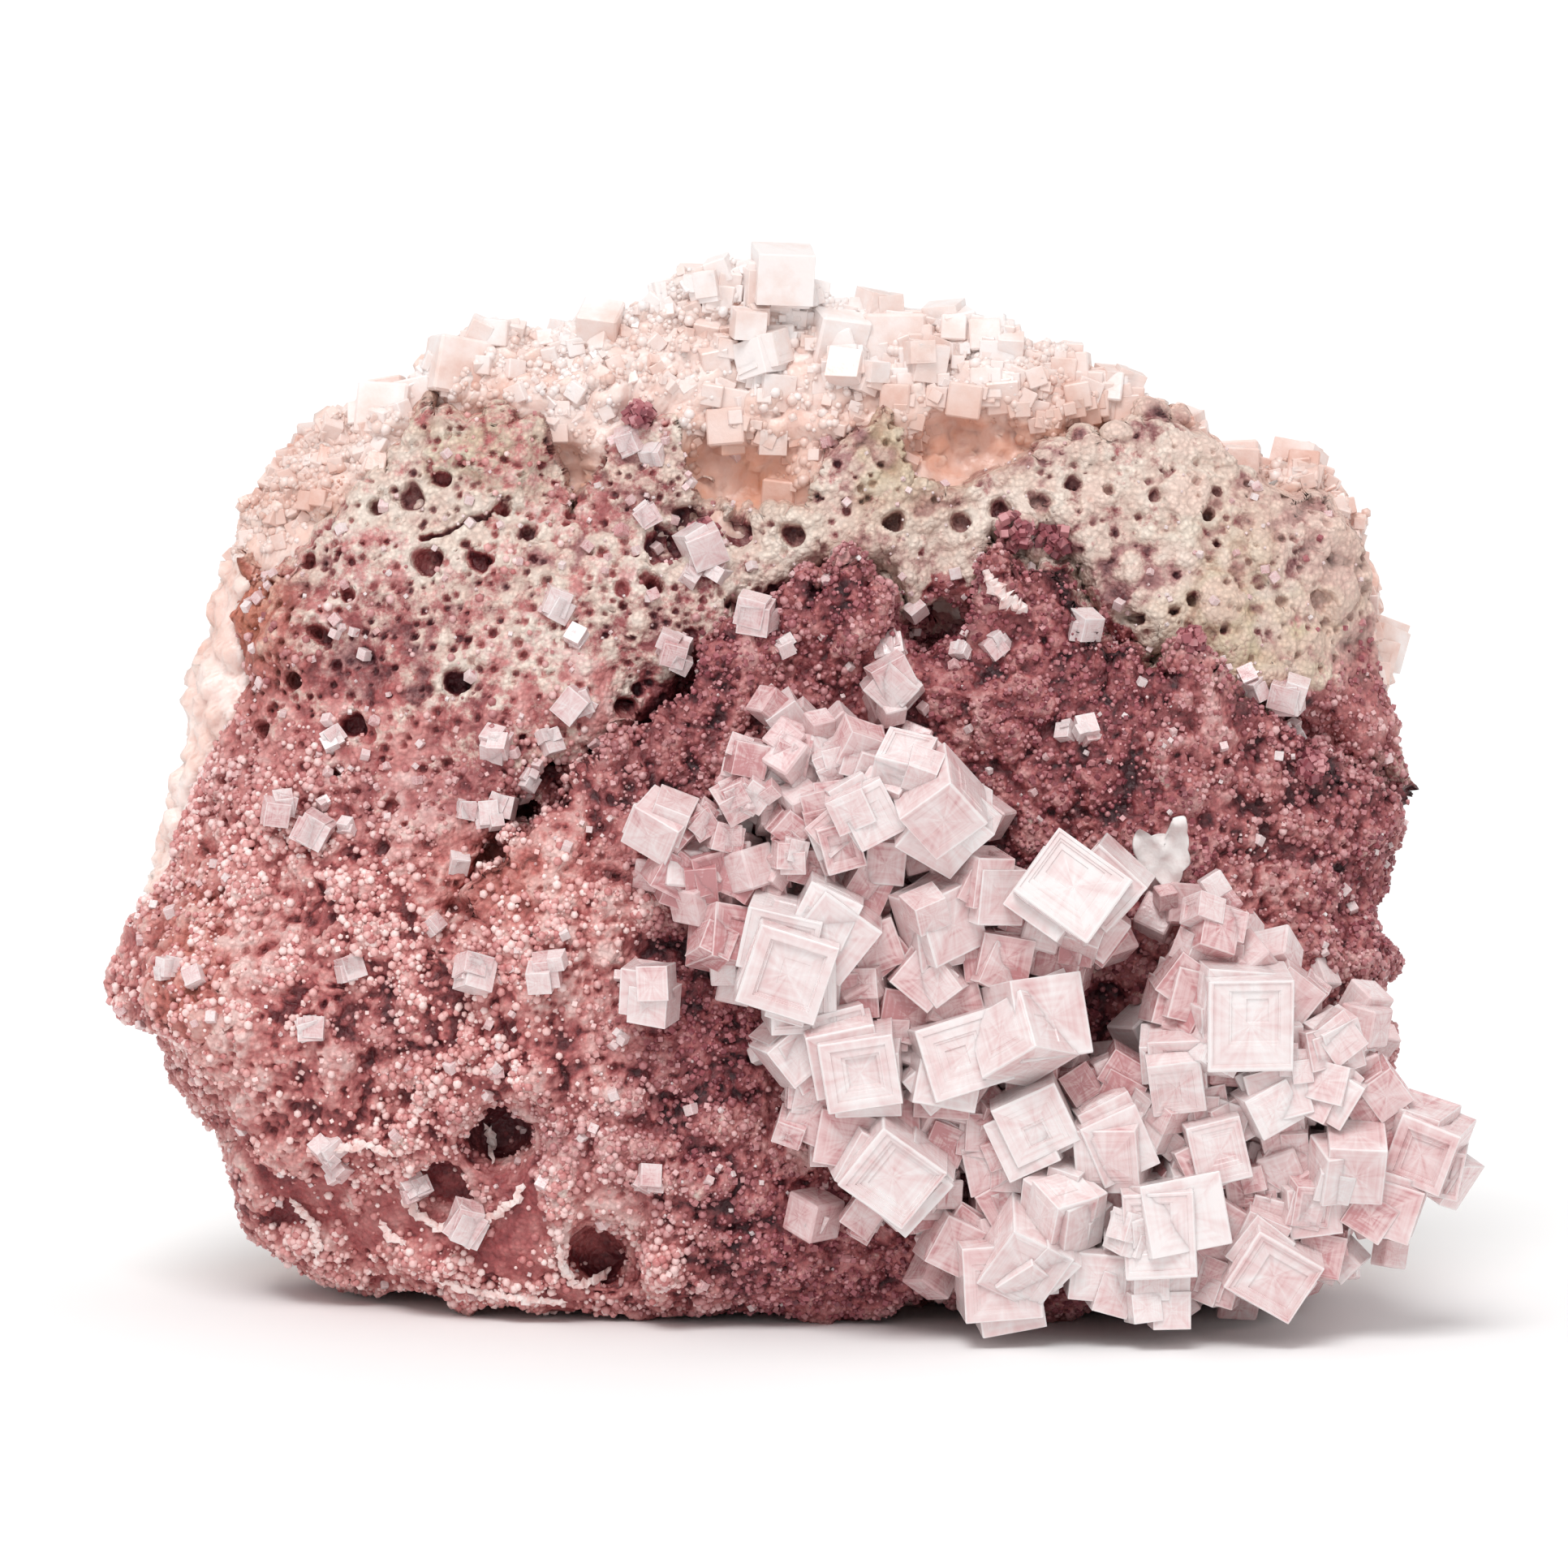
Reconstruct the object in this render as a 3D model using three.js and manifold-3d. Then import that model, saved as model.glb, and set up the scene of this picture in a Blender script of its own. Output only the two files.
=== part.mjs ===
// A hand specimen of pink halite, standing on its lower edge. Millimetres, +Z up, front towards -Y,
// origin on the floor under the middle of the specimen.
//
// Three things grew on each other. A slab of massive pale halite is the back and the crest. In front of it
// lies the matrix, a porous red and cream salt crust whose lower right part is a raised sheet with a ledge
// along its upper edge. On that sheet grew a cluster of cubes with stepped, hollow faces. Single cubes and
// a salt flake stand alone on the matrix.
import * as THREE from 'three';
import { mergeVertices } from 'three/addons/utils/BufferGeometryUtils.js';
import Module from 'manifold-3d';

const wasm = await Module();
wasm.setup();

// Driving dimensions
const halfWidth = 75;
const seamGap = 0.35; // air between two nodes that touch
const flankGapRatio = 2.5; // how much wider it is round the matrix's ragged edge
const seamAtFloor = 11; // y of the plane between matrix and pale halite, at the floor
const seamLean = 0.115; // how far that plane comes forward for each millimetre up
const backAtFloor = 35.2; // y of the back at the floor
const backLean = 0.075; // how far the back comes forward for each millimetre up
const backSideFall = 9; // how far it comes forward at the two sides
const bodyCentre = [-3, 52]; // x, z that both outlines are drawn around

// Outlines seen from the front, x and z, counter-clockwise from the right. Below 0 they are cut by the floor.
const matrixOutline = [
  [67, 52], [70, 57], [68, 63], [66, 70], [65, 78], [64, 84], [61, 90], [56, 92], [50, 94], [44, 98],
  [36, 99], [29, 96], [21, 94], [16, 94], [13, 99], [8, 101], [4, 97], [1, 90], [-5, 90], [-11, 91],
  [-15, 96], [-20, 92], [-26, 93], [-31, 95], [-37, 100], [-43, 98], [-48, 92], [-55, 87], [-61, 84],
  [-62, 77], [-59, 70], [-62, 63], [-65, 55], [-69, 46], [-73, 40], [-75, 36], [-73, 32], [-68, 31],
  [-67, 26], [-61, 19], [-60, 11], [-54, 3], [-44, -2], [-30, -3], [-15, -3], [-3, -4], [10, -2], [18, 1],
  [28, -2], [42, -3], [56, 0], [61, 5], [63, 12], [64, 18], [67, 27], [66, 34], [68, 39], [65, 45],
];
const haliteOutline = [
  [66, 52], [68, 62], [69, 70], [67, 79], [65, 88], [61, 94], [55, 94], [48, 97], [42, 100], [37, 104],
  [30, 107], [23, 110], [15, 111], [7, 112], [3, 115], [-4, 116], [-11, 115], [-16, 112], [-25, 109],
  [-33, 110], [-38, 107], [-42, 103], [-48, 101], [-56, 95], [-60, 90], [-62, 83], [-65, 73], [-68, 62],
  [-70, 53], [-72, 46], [-73, 38], [-66, 30], [-60, 18], [-56, 6], [-44, -2], [-20, -4], [10, -4],
  [40, -3], [56, 0], [61, 10], [65, 27], [66, 40],
];

// The matrix's front: how far it stands forward of y = 0 at each height, and how it falls back at the sides
const frontByHeight = [[0, 12], [8, 16], [18, 19], [32, 20], [45, 18], [60, 15], [75, 12], [90, 8], [104, 5]];
const sideFall = 12;
// The raised sheet: its thickness, and the x over which it rises out of the matrix at its left
const sheetThickness = 5;
const sheetStart = [-50, -24];
const sheetCentre = [12, 40];
const sheetOutline = [
  [67, 60], [58, 67], [50, 71], [42, 74], [39, 78], [34, 79], [35, 84], [33, 88], [28, 90], [22, 87],
  [20, 79], [16, 76], [14, 81], [9, 84], [3, 82], [-3, 78], [-10, 73], [-15, 67], [-23, 60], [-29, 56],
  [-33, 52], [-38, 46], [-44, 38], [-52, 28], [-52, 12], [-40, 0], [-20, -2], [10, -2], [42, -2], [55, 1],
  [60, 8], [62, 18], [65, 27], [64, 34], [66, 40], [64, 46], [64, 54],
];
// Lumps (positive) and hollows (negative) on the front: x, z, radius, height
const reliefSpots = [
  [-8, 10, 13, 3.5], [-55, 27, 12, 3], [-66, 36, 7, 3], [-30, 42, 14, 2.5], [27, 85, 5, 4],
  [9, 80, 6, 2.5], [45, 62, 12, 2.5], [60, 86, 8, 4], [33, 12, 16, 2], [-31, 21, 3.6, -6],
  [-37, 14, 4.5, -3.5], [-19, 8, 3.6, -5], [-50, 12, 8, -3], [17, 76, 3.2, -6], [-24, 60, 6, -3],
  [-14, 70, 5, -3], [-24, 92, 5, -3], [-6, 89, 6, -3.5], [37, 31, 7, -5], [36, 40, 7, -2],
];

const clamp01 = (t) => Math.min(Math.max(t, 0), 1);
const smoothstep = (t) => clamp01(t) ** 2 * (3 - 2 * clamp01(t));

// Straight-line interpolation through points [x, y] with rising x
function between(points, x) {
  const last = points.length - 1;
  if (x <= points[0][0]) return points[0][1];
  if (x >= points[last][0]) return points[last][1];
  const i = points.findIndex((p) => p[0] > x);
  const [[x0, y0], [x1, y1]] = [points[i - 1], points[i]];
  return y0 + ((y1 - y0) * (x - x0)) / (x1 - x0);
}

// The smaller of a and b, rounded over where they are within k of each other
function softMin(a, b, k) {
  const h = Math.max(k - Math.abs(a - b), 0) / k;
  return Math.min(a, b) - (h * h * k) / 4;
}

const seamPlane = (z) => seamAtFloor - seamLean * z;

// A slow wave over the surface, for lumps that no spot names
const waves = (x, z) => Math.sin(x / 6.5 + 1.3 * Math.sin(z / 11)) * Math.cos(z / 7.5 + x / 23);

const spots = (x, z) =>
  reliefSpots.reduce((sum, [sx, sz, r, h]) => sum + h * Math.exp(-((x - sx) ** 2 + (z - sz) ** 2) / (r * r)), 0);

// Small rough lumps, a few millimetres across
const lumps = (x, z) => Math.sin(1.3 * x + 2 * Math.sin(0.7 * z)) * Math.sin(1.1 * z + 1.5 * Math.sin(0.6 * x));

function matrixFront(x, z) {
  const forward = between(frontByHeight, z) - sideFall * (Math.abs(x) / halfWidth) ** 3;
  return -(forward + spots(x, z) + 0.9 * waves(x, z) + 0.5 * lumps(x, z));
}

function sheetFront(x, z) {
  const [start, full] = sheetStart;
  const thickness = (sheetThickness + 1) * smoothstep((x - start) / (full - start)) - 1;
  return matrixFront(x, z) - thickness - 0.4 * lumps(z, x);
}

// The crust that faces the viewer at a point: the raised sheet where it covers the matrix
function crustFront(x, z) {
  const [dx, dz] = [x - sheetCentre[0], z - sheetCentre[1]];
  const inSheet = Math.hypot(dx, dz) < radiusAround(sheetOutline, sheetCentre)(Math.atan2(dz, dx)) - 2;
  return inSheet ? Math.min(matrixFront(x, z), sheetFront(x, z)) : matrixFront(x, z);
}

// Behind the matrix the halite fills up to it; above, its own front lies a little further back
const haliteFront = (x, z) => seamPlane(z) - 3 + 6 * smoothstep((z - 82) / 12) + 1.2 * waves(1.4 * x, z);
function haliteBack(x, z) {
  return backAtFloor - backLean * z - backSideFall * (Math.abs(x) / halfWidth) ** 3 + 2.2 * waves(x + 20, z);
}

// The outline's radius at an angle round its centre
function radiusAround(outline, [cx, cz]) {
  const polar = outline
    .map(([x, z]) => [Math.atan2(z - cz, x - cx), Math.hypot(x - cx, z - cz)])
    .sort((a, b) => a[0] - b[0]);
  const turn = 2 * Math.PI;
  const wrapped = [
    [polar.at(-1)[0] - turn, polar.at(-1)[1]],
    ...polar,
    [polar[0][0] + turn, polar[0][1]],
  ];
  return (angle) => between(wrapped, angle);
}

// One half of a pebble: a square grid bent into a disc, pushed out to the outline, and domed from the rim to a
// face. The outer share of the grid, side, is the flank between rim and face. Returns x, y, z per vertex.
function sheetVertices({ outline, centre, spread = 1, columns, rows, side, rim, face, grow = 0 }) {
  const radius = radiusAround(outline, centre);
  const edge = 0.35; // roundness of the edge between flank and face
  const points = [];
  for (let j = 0; j <= rows; j++) {
    for (let i = 0; i <= columns; i++) {
      const [u, v] = [(2 * i) / columns - 1, (2 * j) / rows - 1];
      const [a, b] = [u * Math.sqrt(1 - (v * v) / 2), v * Math.sqrt(1 - (u * u) / 2)];
      const t = Math.min(Math.hypot(a, b), 1);
      const angle = Math.atan2(b, a);
      const flank = smoothstep((t - 1 + 1.3 * side) / side);
      const reach = softMin(t / (1 - side), 1, edge) * (spread * radius(angle) + grow * flank);
      const x = centre[0] + reach * Math.cos(angle);
      const z = Math.max(centre[1] + reach * Math.sin(angle), 0);
      const depth = softMin((1 - t) / side, 1, edge);
      points.push([x, rim(z) + depth * (face(x, z) - rim(z)), z]);
    }
  }
  return points;
}

// The grid's boundary vertices in order round the edge
function boundary(columns, rows) {
  const at = (i, j) => j * (columns + 1) + i;
  const loop = [];
  for (let i = 0; i < columns; i++) loop.push(at(i, 0));
  for (let j = 0; j < rows; j++) loop.push(at(columns, j));
  for (let i = columns; i > 0; i--) loop.push(at(i, rows));
  for (let j = rows; j > 0; j--) loop.push(at(0, j));
  return loop;
}

function gridFaces(columns, rows, flip) {
  const faces = [];
  for (let j = 0; j < rows; j++) {
    for (let i = 0; i < columns; i++) {
      const a = j * (columns + 1) + i;
      const [b, c, d] = [a + 1, a + columns + 2, a + columns + 1];
      faces.push(...(flip ? [a, c, b, a, d, c] : [a, b, c, a, c, d]));
    }
  }
  return faces;
}

// A closed solid of a front sheet and either a back sheet on the same rim or a flat back on the seam plane
function slab(shape, backFace) {
  const { columns, rows, rim, centre } = shape;
  const points = sheetVertices(shape);
  const faces = gridFaces(columns, rows, false);
  const loop = boundary(columns, rows);
  if (backFace) {
    const first = points.length;
    const onRim = new Set(loop);
    points.push(...sheetVertices({ ...shape, face: backFace }));
    const back = gridFaces(columns, rows, true).map((v) => (onRim.has(v) ? v : v + first));
    faces.push(...back);
  } else {
    const hub = points.length;
    points.push([centre[0], rim(centre[1]), centre[1]]);
    loop.forEach((v, i) => faces.push(hub, loop[(i + 1) % loop.length], v));
  }
  const geometry = new THREE.BufferGeometry();
  geometry.setAttribute('position', new THREE.Float32BufferAttribute(points.flat(), 3));
  geometry.setIndex(faces);
  return geometry.toNonIndexed();
}

function toSolid(geometry) {
  const bare = geometry.clone();
  bare.deleteAttribute('normal');
  bare.deleteAttribute('uv');
  const merged = mergeVertices(bare, 1e-4);
  const index = Array.from(merged.index.array);
  const triangles = [];
  for (let i = 0; i < index.length; i += 3) {
    const [a, b, c] = index.slice(i, i + 3);
    if (a !== b && b !== c && c !== a) triangles.push(a, b, c);
  }
  return new wasm.Manifold(
    new wasm.Mesh({
      numProp: 3,
      vertProperties: merged.attributes.position.array,
      triVerts: new Uint32Array(triangles),
    }),
  );
}

function toGeometry(solid) {
  const { vertProperties, triVerts } = solid.getMesh();
  const geometry = new THREE.BufferGeometry();
  geometry.setAttribute('position', new THREE.BufferAttribute(new Float32Array(vertProperties), 3));
  geometry.setIndex(new THREE.BufferAttribute(new Uint32Array(triVerts), 1));
  geometry.computeVertexNormals();
  return geometry;
}

const joined = (solids) => solids.reduce((a, b) => a.add(b));
const largest = (solid) => solid.decompose().reduce((a, b) => (b.volume() > a.volume() ? b : a));

const twoStepEdge = 8; // cubes above this edge length have a second step in the hollow face
// A halite cube, one edge long, turned as the front view shows it: spin clockwise in the picture, then yaw to
// the right and pitch downwards, in degrees. A hollow face is a square funnel of two steps in the front face.
function cube({ at, edge, spin = 0, yaw = 0, pitch = 0, hollow = 0 }) {
  const turned = new THREE.Matrix4().makeRotationFromEuler(
    new THREE.Euler(...[pitch, spin, yaw].map(THREE.MathUtils.degToRad), 'XZY'),
  );
  turned.setPosition(...at);
  const block = (size, depth, y) => {
    const box = new THREE.BoxGeometry(size, depth, size);
    return toSolid(box.translate(0, y, 0).applyMatrix4(turned));
  };
  const whole = block(edge, edge, 0);
  if (!hollow) return whole;
  const stepDepth = 0.09 * edge;
  const stepCount = edge > twoStepEdge ? 2 : 1;
  const steps = Array.from({ length: stepCount }, (_, n) => {
    const size = edge * hollow * (1 - 0.4 * n);
    return block(size, 2 * stepDepth * (n + 1), -edge / 2);
  });
  return whole.subtract(joined(steps));
}

// The cluster's cubes: x, z, edge, spin, yaw, pitch, how far the middle stands forward of the bed, hollow share
const bedDepth = -27; // y of a cube's middle with no forward value
const clusterRise = 1.7;
const clusterCubes = [
  // upper arm, from the left tip to the crown
  [-13, 55.3, 5, 20, -25, 25, 1.5], [-8.4, 55.8, 2.8, -30, 10, 10, 1.5], [-5, 58, 3.6, -25, 15, 20, 1.5],
  [-3.5, 62.6, 4, 12, 15, 0, 1], [-2.5, 59, 3.2, 35, 0, 15, 2], [1.6, 62.8, 3.4, 10, 0, 20, 0.5],
  [5.8, 62.4, 3.2, -25, 0, 10, 2], [8.8, 63.4, 4.4, 15, 10, 10, 2], [13.6, 61.6, 6, 3, -18, 32, 4],
  [17.8, 56.4, 7.6, 35, 0, 28, 4.5], [9.7, 57.4, 6, -27, 5, 5, 4.5], [5, 57.6, 4.2, -15, 0, 10, 2],
  [1.5, 55.5, 3.8, 40, 0, 15, 1.5], [1, 52.3, 3, 3, 10, 0, 3], [6.6, 53.6, 5.2, -15, 5, 5, 3.5, 0.5],
  [11.6, 51.8, 4.6, 5, 0, 10, 1.5], [3.3, 50.8, 4.2, 15, 0, 0, 0.5], [-6, 54, 3, 15, 20, 0, 1],
  [-11.4, 50, 4.8, 30, 15, 10, 0], [-7.8, 50.4, 4.6, -12, 20, 5, 0], [-4.3, 49.6, 4.2, 20, -15, 0, 0],
  [-1.2, 48.3, 4, -10, 0, 10, 0],
  // middle, from the elbow down to the left foot
  [22.7, 48.2, 6.2, 6, 28, 5, 3], [17.4, 45.3, 7, -18, 30, 5, 3.5], [0.9, 40.6, 8.8, 18, 0, 8, 5, 0.6],
  [5.8, 44.4, 7, 37, 0, 12, 4], [1.2, 37.2, 5.4, 17, 0, 5, 6, 0.45], [-6.3, 42.9, 5.6, 5, 30, -20, 1],
  [8.2, 37.2, 5, -4, 0, 5, 1.5], [15.8, 39, 5.7, 40, 0, 0, 2.5], [24.2, 41.4, 5.4, 12, 10, 5, 1.5],
  [31.8, 48.7, 8.8, 36, 0, -12, 4.5, 0.62], [34.6, 44.1, 5.6, 36, 0, 0, 1],
  [31, 40.8, 5.2, 12, -15, 0, 0], [27.9, 34.4, 8.2, -10, 24, -14, 5],
  [19.6, 30.6, 8.4, -17, 8, -6, 4, 0.6], [8.8, 29.6, 8.6, -9, 0, 8, 5.5, 0.3],
  [2.4, 30.6, 6.4, -27, 22, 5, 3], [3.4, 24, 5.4, 25, 0, 8, 2], [12.3, 18.6, 8.6, 37, 0, 12, 5, 0.55],
  [9, 12.3, 3.6, 35, 0, 0, 1.5], [15.6, 12.9, 3.8, -10, 15, 0, 0.5], [16.8, 16, 4.8, 12, 0, 0, 1],
  [22.9, 18.1, 5.4, -12, 0, 5, 1.5], [22.2, 21.9, 4.6, 3, 10, 0, 1.5],
  [27.9, 23.6, 7, -25, 0, 6, 4.5, 0.5], [17.8, 26, 5.6, 3, 0, -5, 2], [28.6, 28.4, 5, 0, -10, 5, 0],
  [33.6, 26.4, 4.8, -20, 10, 0, 0.5], [36.4, 21.2, 7.4, -23, 10, 5, 3.5],
  [41.2, 22.6, 5.2, 24, -32, 0, 2.5],
  // right arm
  [47.6, 20.4, 7.2, -13, 5, 5, 3.5, 0.5], [43.2, 28.6, 6.8, -8, 0, 22, 4, 0.5],
  [46.6, 25.4, 3.6, -10, 10, 0, 3], [50.8, 34.8, 9, 0, 4, 6, 5, 0.66], [44.8, 36.8, 6.2, 15, 15, 0, 1.5],
  [55.8, 36.6, 5.2, 38, 0, 5, 1.5], [47.6, 31.2, 4.8, 30, 28, 0, 5], [55.8, 30, 3.4, 3, 10, 0, 5.5],
  [59.9, 31.3, 5.4, -15, 20, 5, 3.5], [54.3, 26.3, 6.4, -15, 0, -5, 4], [60.3, 26.4, 5.8, 30, -10, 0, 4],
  [65, 25.3, 5.8, -35, 0, 10, 1], [70.7, 20, 7.8, 19, -14, 5, 2.5, 0.5], [62.7, 19.2, 6.8, 3, 0, 26, 4.5],
  [66.7, 13.9, 6.2, 17, -8, 5, 2], [61.4, 15, 4.4, 10, 0, 0, 2.5], [54.8, 22.2, 4.8, -15, 0, 10, 1.5],
  [54.7, 18, 4.6, 35, 10, 0, 1.5], [47, 43.7, 5.2, 12, 24, -20, 2], [48.8, 40.6, 3.8, 4, 0, 0, 1],
  // foot of the cluster
  [58, 13.6, 5.2, -5, 10, 5, 3], [59.2, 8.4, 4.4, 12, 0, 0, 1.5], [53.8, 7.3, 7.6, 31, 0, 10, 5, 0.4],
  [53.4, 12.8, 4.6, 15, 0, 5, 2], [48.3, 10.8, 5.4, 38, 0, 5, 2], [41.3, 11.8, 9, -3, 0, 4, 5.5, 0.68],
  [38.4, 11.2, 3.8, 20, 28, 10, 8], [30.9, 13.6, 6.4, 6, 42, 32, 6], [24, 6.1, 8, -3, 6, 4, 4, 0.5],
  [26.8, 9, 7, 30, 0, 26, 5.5], [18.8, 9.6, 5.8, 28, 10, 5, 2], [34.8, 6.8, 6.2, 5, 0, 8, 4],
  [41.6, 4.8, 5.6, 3, 8, 0, 5], [48.3, 5.4, 4.8, 15, -10, 0, 2.5], [25.4, 14, 5.4, -30, 0, 5, 1.5],
  [36.2, 14.6, 5.2, 12, 0, 0, 1.5], [44.8, 16.8, 5, 20, 10, 0, 1.5], [51, 15.4, 4.8, -8, 0, 10, 1.5],
  [31, 20, 5, -20, 0, 10, 1], [7.4, 21.6, 6.6, 10, 0, 5, 2], [12.6, 24.6, 6.2, -20, 10, 0, 1],
  [17.4, 20.6, 5, 30, 0, 0, 1], [57.6, 18.4, 5, 24, 0, 0, 1], [66, 19.6, 5, -12, 0, 0, 1],
  // pinker cubes that fill between the large ones
  [13.5, 34.6, 5.4, 10, 10, 0, 0.5], [10.6, 42.2, 5.4, -20, 0, 0, 0.5], [10, 48.4, 5, 24, 0, 0, 0.5],
  [26.6, 45.4, 5, 24, 0, 0, 0.5], [19.4, 35.8, 5, -15, 0, 0, 1], [38.4, 26.8, 5, 24, 0, 0, 0.5],
];

function clusterCube([x, z, edge, spin, yaw, pitch, forward, hollow = 0]) {
  return cube({ at: [x, bedDepth - forward, z + clusterRise], edge, spin, yaw, pitch, hollow });
}

// Cubes on the crest and flanks of the pale halite: x, z, edge, spin, how far the middle stands behind the seam
const crestCubes = [
  [0.4, 115.8, 6.6, 3, 3], [-1.2, 107.6, 5.2, -14, 0], [-0.6, 102.6, 5, 8, 0], [-0.8, 96.6, 3.2, 3, -1],
  [7.6, 105.4, 4.8, 36, -1], [16.4, 106.2, 5, 10, 0], [24.2, 106.6, 5.4, 2, 3], [18.6, 110.6, 5, -8, 6],
  [10.8, 111.6, 5.2, 14, 6], [31.4, 105.6, 5.2, -14, 5], [37.6, 103, 5.6, 8, 5], [46, 98, 5, -10, 6],
  [58.6, 94.2, 5.6, 30, 7], [68, 73, 6.4, 24, 12], [66.6, 60, 5, 6, 14], [-8, 114.6, 5.8, -12, 4],
  [-16, 111.6, 6, 16, 5], [-29, 109.4, 6.6, 24, 7], [-37.4, 107, 6.2, -10, 8], [-49.6, 99.6, 6.6, 30, 9],
  [-58, 94, 6.4, 8, 9], [-64.6, 80, 5.8, 18, 12], [-69.6, 63, 5.8, 6, 14], [-72.6, 48, 5.2, 15, 13],
];
// Cubes on the back, set out in rings round the middle by the golden angle
const backCubes = { count: 19, reach: 50, smallest: 6, largest: 10, middle: [-2, 54] };

function crestCube([x, z, edge, spin, behind]) {
  return cube({ at: [x, seamPlane(z) + behind, z], edge, spin, yaw: 2 * spin, pitch: 8 });
}

function backCube(n) {
  const goldenAngle = Math.PI * (3 - Math.sqrt(5));
  const share = (n + 0.5) / backCubes.count;
  const [x, z] = [
    backCubes.middle[0] + 1.12 * backCubes.reach * Math.sqrt(share) * Math.cos(n * goldenAngle),
    backCubes.middle[1] + 0.88 * backCubes.reach * Math.sqrt(share) * Math.sin(n * goldenAngle),
  ];
  const edge = backCubes.smallest + (backCubes.largest - backCubes.smallest) * (0.5 + 0.5 * Math.sin(5 * n));
  const [spin, yaw, pitch] = [37 * n, 24 * Math.sin(3 * n), 20 * Math.cos(2 * n)];
  return cube({ at: [x, haliteBack(x, z) - 0.08 * edge, z], edge, spin, yaw, pitch });
}

// Single crystals on the matrix: name, x, z, edge, spin, yaw, pitch
const loneCrystals = [
  ['crystal_above_cluster_left', 1, 67.8, 4.6, -34, 10, 12],
  ['crystal_above_cluster_right', 12.3, 71.4, 4.8, 43, 0, 4],
  ['crystal_left_of_cluster', -14.5, 39, 5.2, 3, -18, 8],
  ['crystal_mid_left_white', -33.3, 40.2, 3.6, 12, 25, -15],
  ['crystal_mid_left_pink', -25.4, 40.9, 3.4, -8, 0, 15],
  ['crystal_far_left_upper', -55.8, 56.8, 3.2, 10, 10, 10],
  ['crystal_far_left_lower', -51.2, 54.8, 3.4, 28, -10, 5],
  ['crystal_on_cream_band', -8.2, 86, 4, -20, 10, 12],
  ['crystal_ledge_left', -11.6, 74.6, 3.2, 15, 0, 10],
  ['crystal_ledge_middle', -2.6, 79, 3.4, 6, -10, 15],
  ['crystal_right_shoulder', 56.2, 69.6, 3.4, 12, -15, 10],
  ['crystal_lower_left', -34.7, 11.6, 3.8, 34, 0, 5],
];
const loneSink = 0.2; // share of the edge that is sunk in the matrix

function loneCube([, x, z, edge, spin, yaw, pitch]) {
  const forward = edge * (0.5 - loneSink);
  return cube({ at: [x, crustFront(x, z) - forward, z], edge, spin, yaw, pitch });
}

// A curled flake of salt that stands on the matrix: a bent, ragged sheet
function saltFlake() {
  const [middle, half, thickness] = [[41.6, 54.3], [3.1, 3], 0.9];
  const steps = 14;
  const rim = Array.from({ length: steps }, (_, n) => {
    const angle = (2 * Math.PI * n) / steps;
    const ragged = 1 + 0.1 * Math.sin(5 * angle) + 0.07 * Math.cos(8 * angle);
    return new THREE.Vector2(half[0] * ragged * Math.cos(angle), half[1] * ragged * Math.sin(angle));
  });
  const sheet = new THREE.ExtrudeGeometry(new THREE.Shape(rim), { depth: thickness, bevelEnabled: false });
  sheet.rotateX(Math.PI / 2).rotateZ(THREE.MathUtils.degToRad(8));
  return toSolid(sheet.translate(middle[0], crustFront(...middle) - 0.6, middle[1]));
}

const matrixShape = {
  outline: matrixOutline,
  centre: bodyCentre,
  spread: 1.02,
  columns: 30,
  rows: 25,
  side: 0.3,
  rim: seamPlane,
  face: matrixFront,
};
const sheetShape = {
  outline: sheetOutline,
  centre: sheetCentre,
  columns: 25,
  rows: 21,
  side: 0.09,
  rim: (z) => seamPlane(z) - 2,
  face: sheetFront,
};
const haliteShape = {
  outline: haliteOutline,
  centre: bodyCentre,
  spread: 1.035,
  columns: 18,
  rows: 14,
  side: 0.2,
  rim: (z) => seamPlane(z) + 4,
  face: haliteFront,
};

// The matrix with its sheet, or the room that they need when a gap is kept before and beside them
function matrixSolid(gap) {
  const parts = [matrixShape, sheetShape].map((shape) =>
    slab({
      ...shape,
      grow: flankGapRatio * gap,
      rim: (z) => shape.rim(z) + gap,
      face: (x, z) => shape.face(x, z) - gap,
    }),
  );
  return joined(parts.map(toSolid));
}
const matrixRoom = matrixSolid(seamGap);

const specimen = new THREE.Group();

function addPiece(name, geometry, material) {
  const mesh = new THREE.Mesh(geometry, material);
  mesh.name = name;
  specimen.add(mesh);
}

const redCrust = new THREE.MeshStandardMaterial({ color: 0xa85b60, roughness: 0.85, metalness: 0 });
const palePink = new THREE.MeshStandardMaterial({ color: 0xe9cfc6, roughness: 0.45, metalness: 0 });
const frostedPink = new THREE.MeshStandardMaterial({ color: 0xe6d2d3, roughness: 0.3, metalness: 0 });
const whiteSalt = new THREE.MeshStandardMaterial({ color: 0xe4dcd9, roughness: 0.5, metalness: 0 });

addPiece('matrix', toGeometry(matrixSolid(0)), redCrust);

const haliteCubes = [
  ...crestCubes.map(crestCube),
  ...Array.from({ length: backCubes.count }, (_, n) => backCube(n)),
];
const paleHalite = toSolid(slab(haliteShape, haliteBack)).add(joined(haliteCubes)).subtract(matrixRoom);
addPiece('pale_halite', toGeometry(largest(paleHalite)), palePink);

const cluster = joined(clusterCubes.map(clusterCube)).subtract(matrixRoom);
addPiece('crystal_cluster', toGeometry(largest(cluster)), frostedPink);

for (const crystal of loneCrystals) {
  addPiece(crystal[0], toGeometry(largest(loneCube(crystal).subtract(matrixRoom))), frostedPink);
}
addPiece('salt_flake', toGeometry(largest(saltFlake().subtract(matrixRoom))), whiteSalt);

export default specimen;
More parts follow.
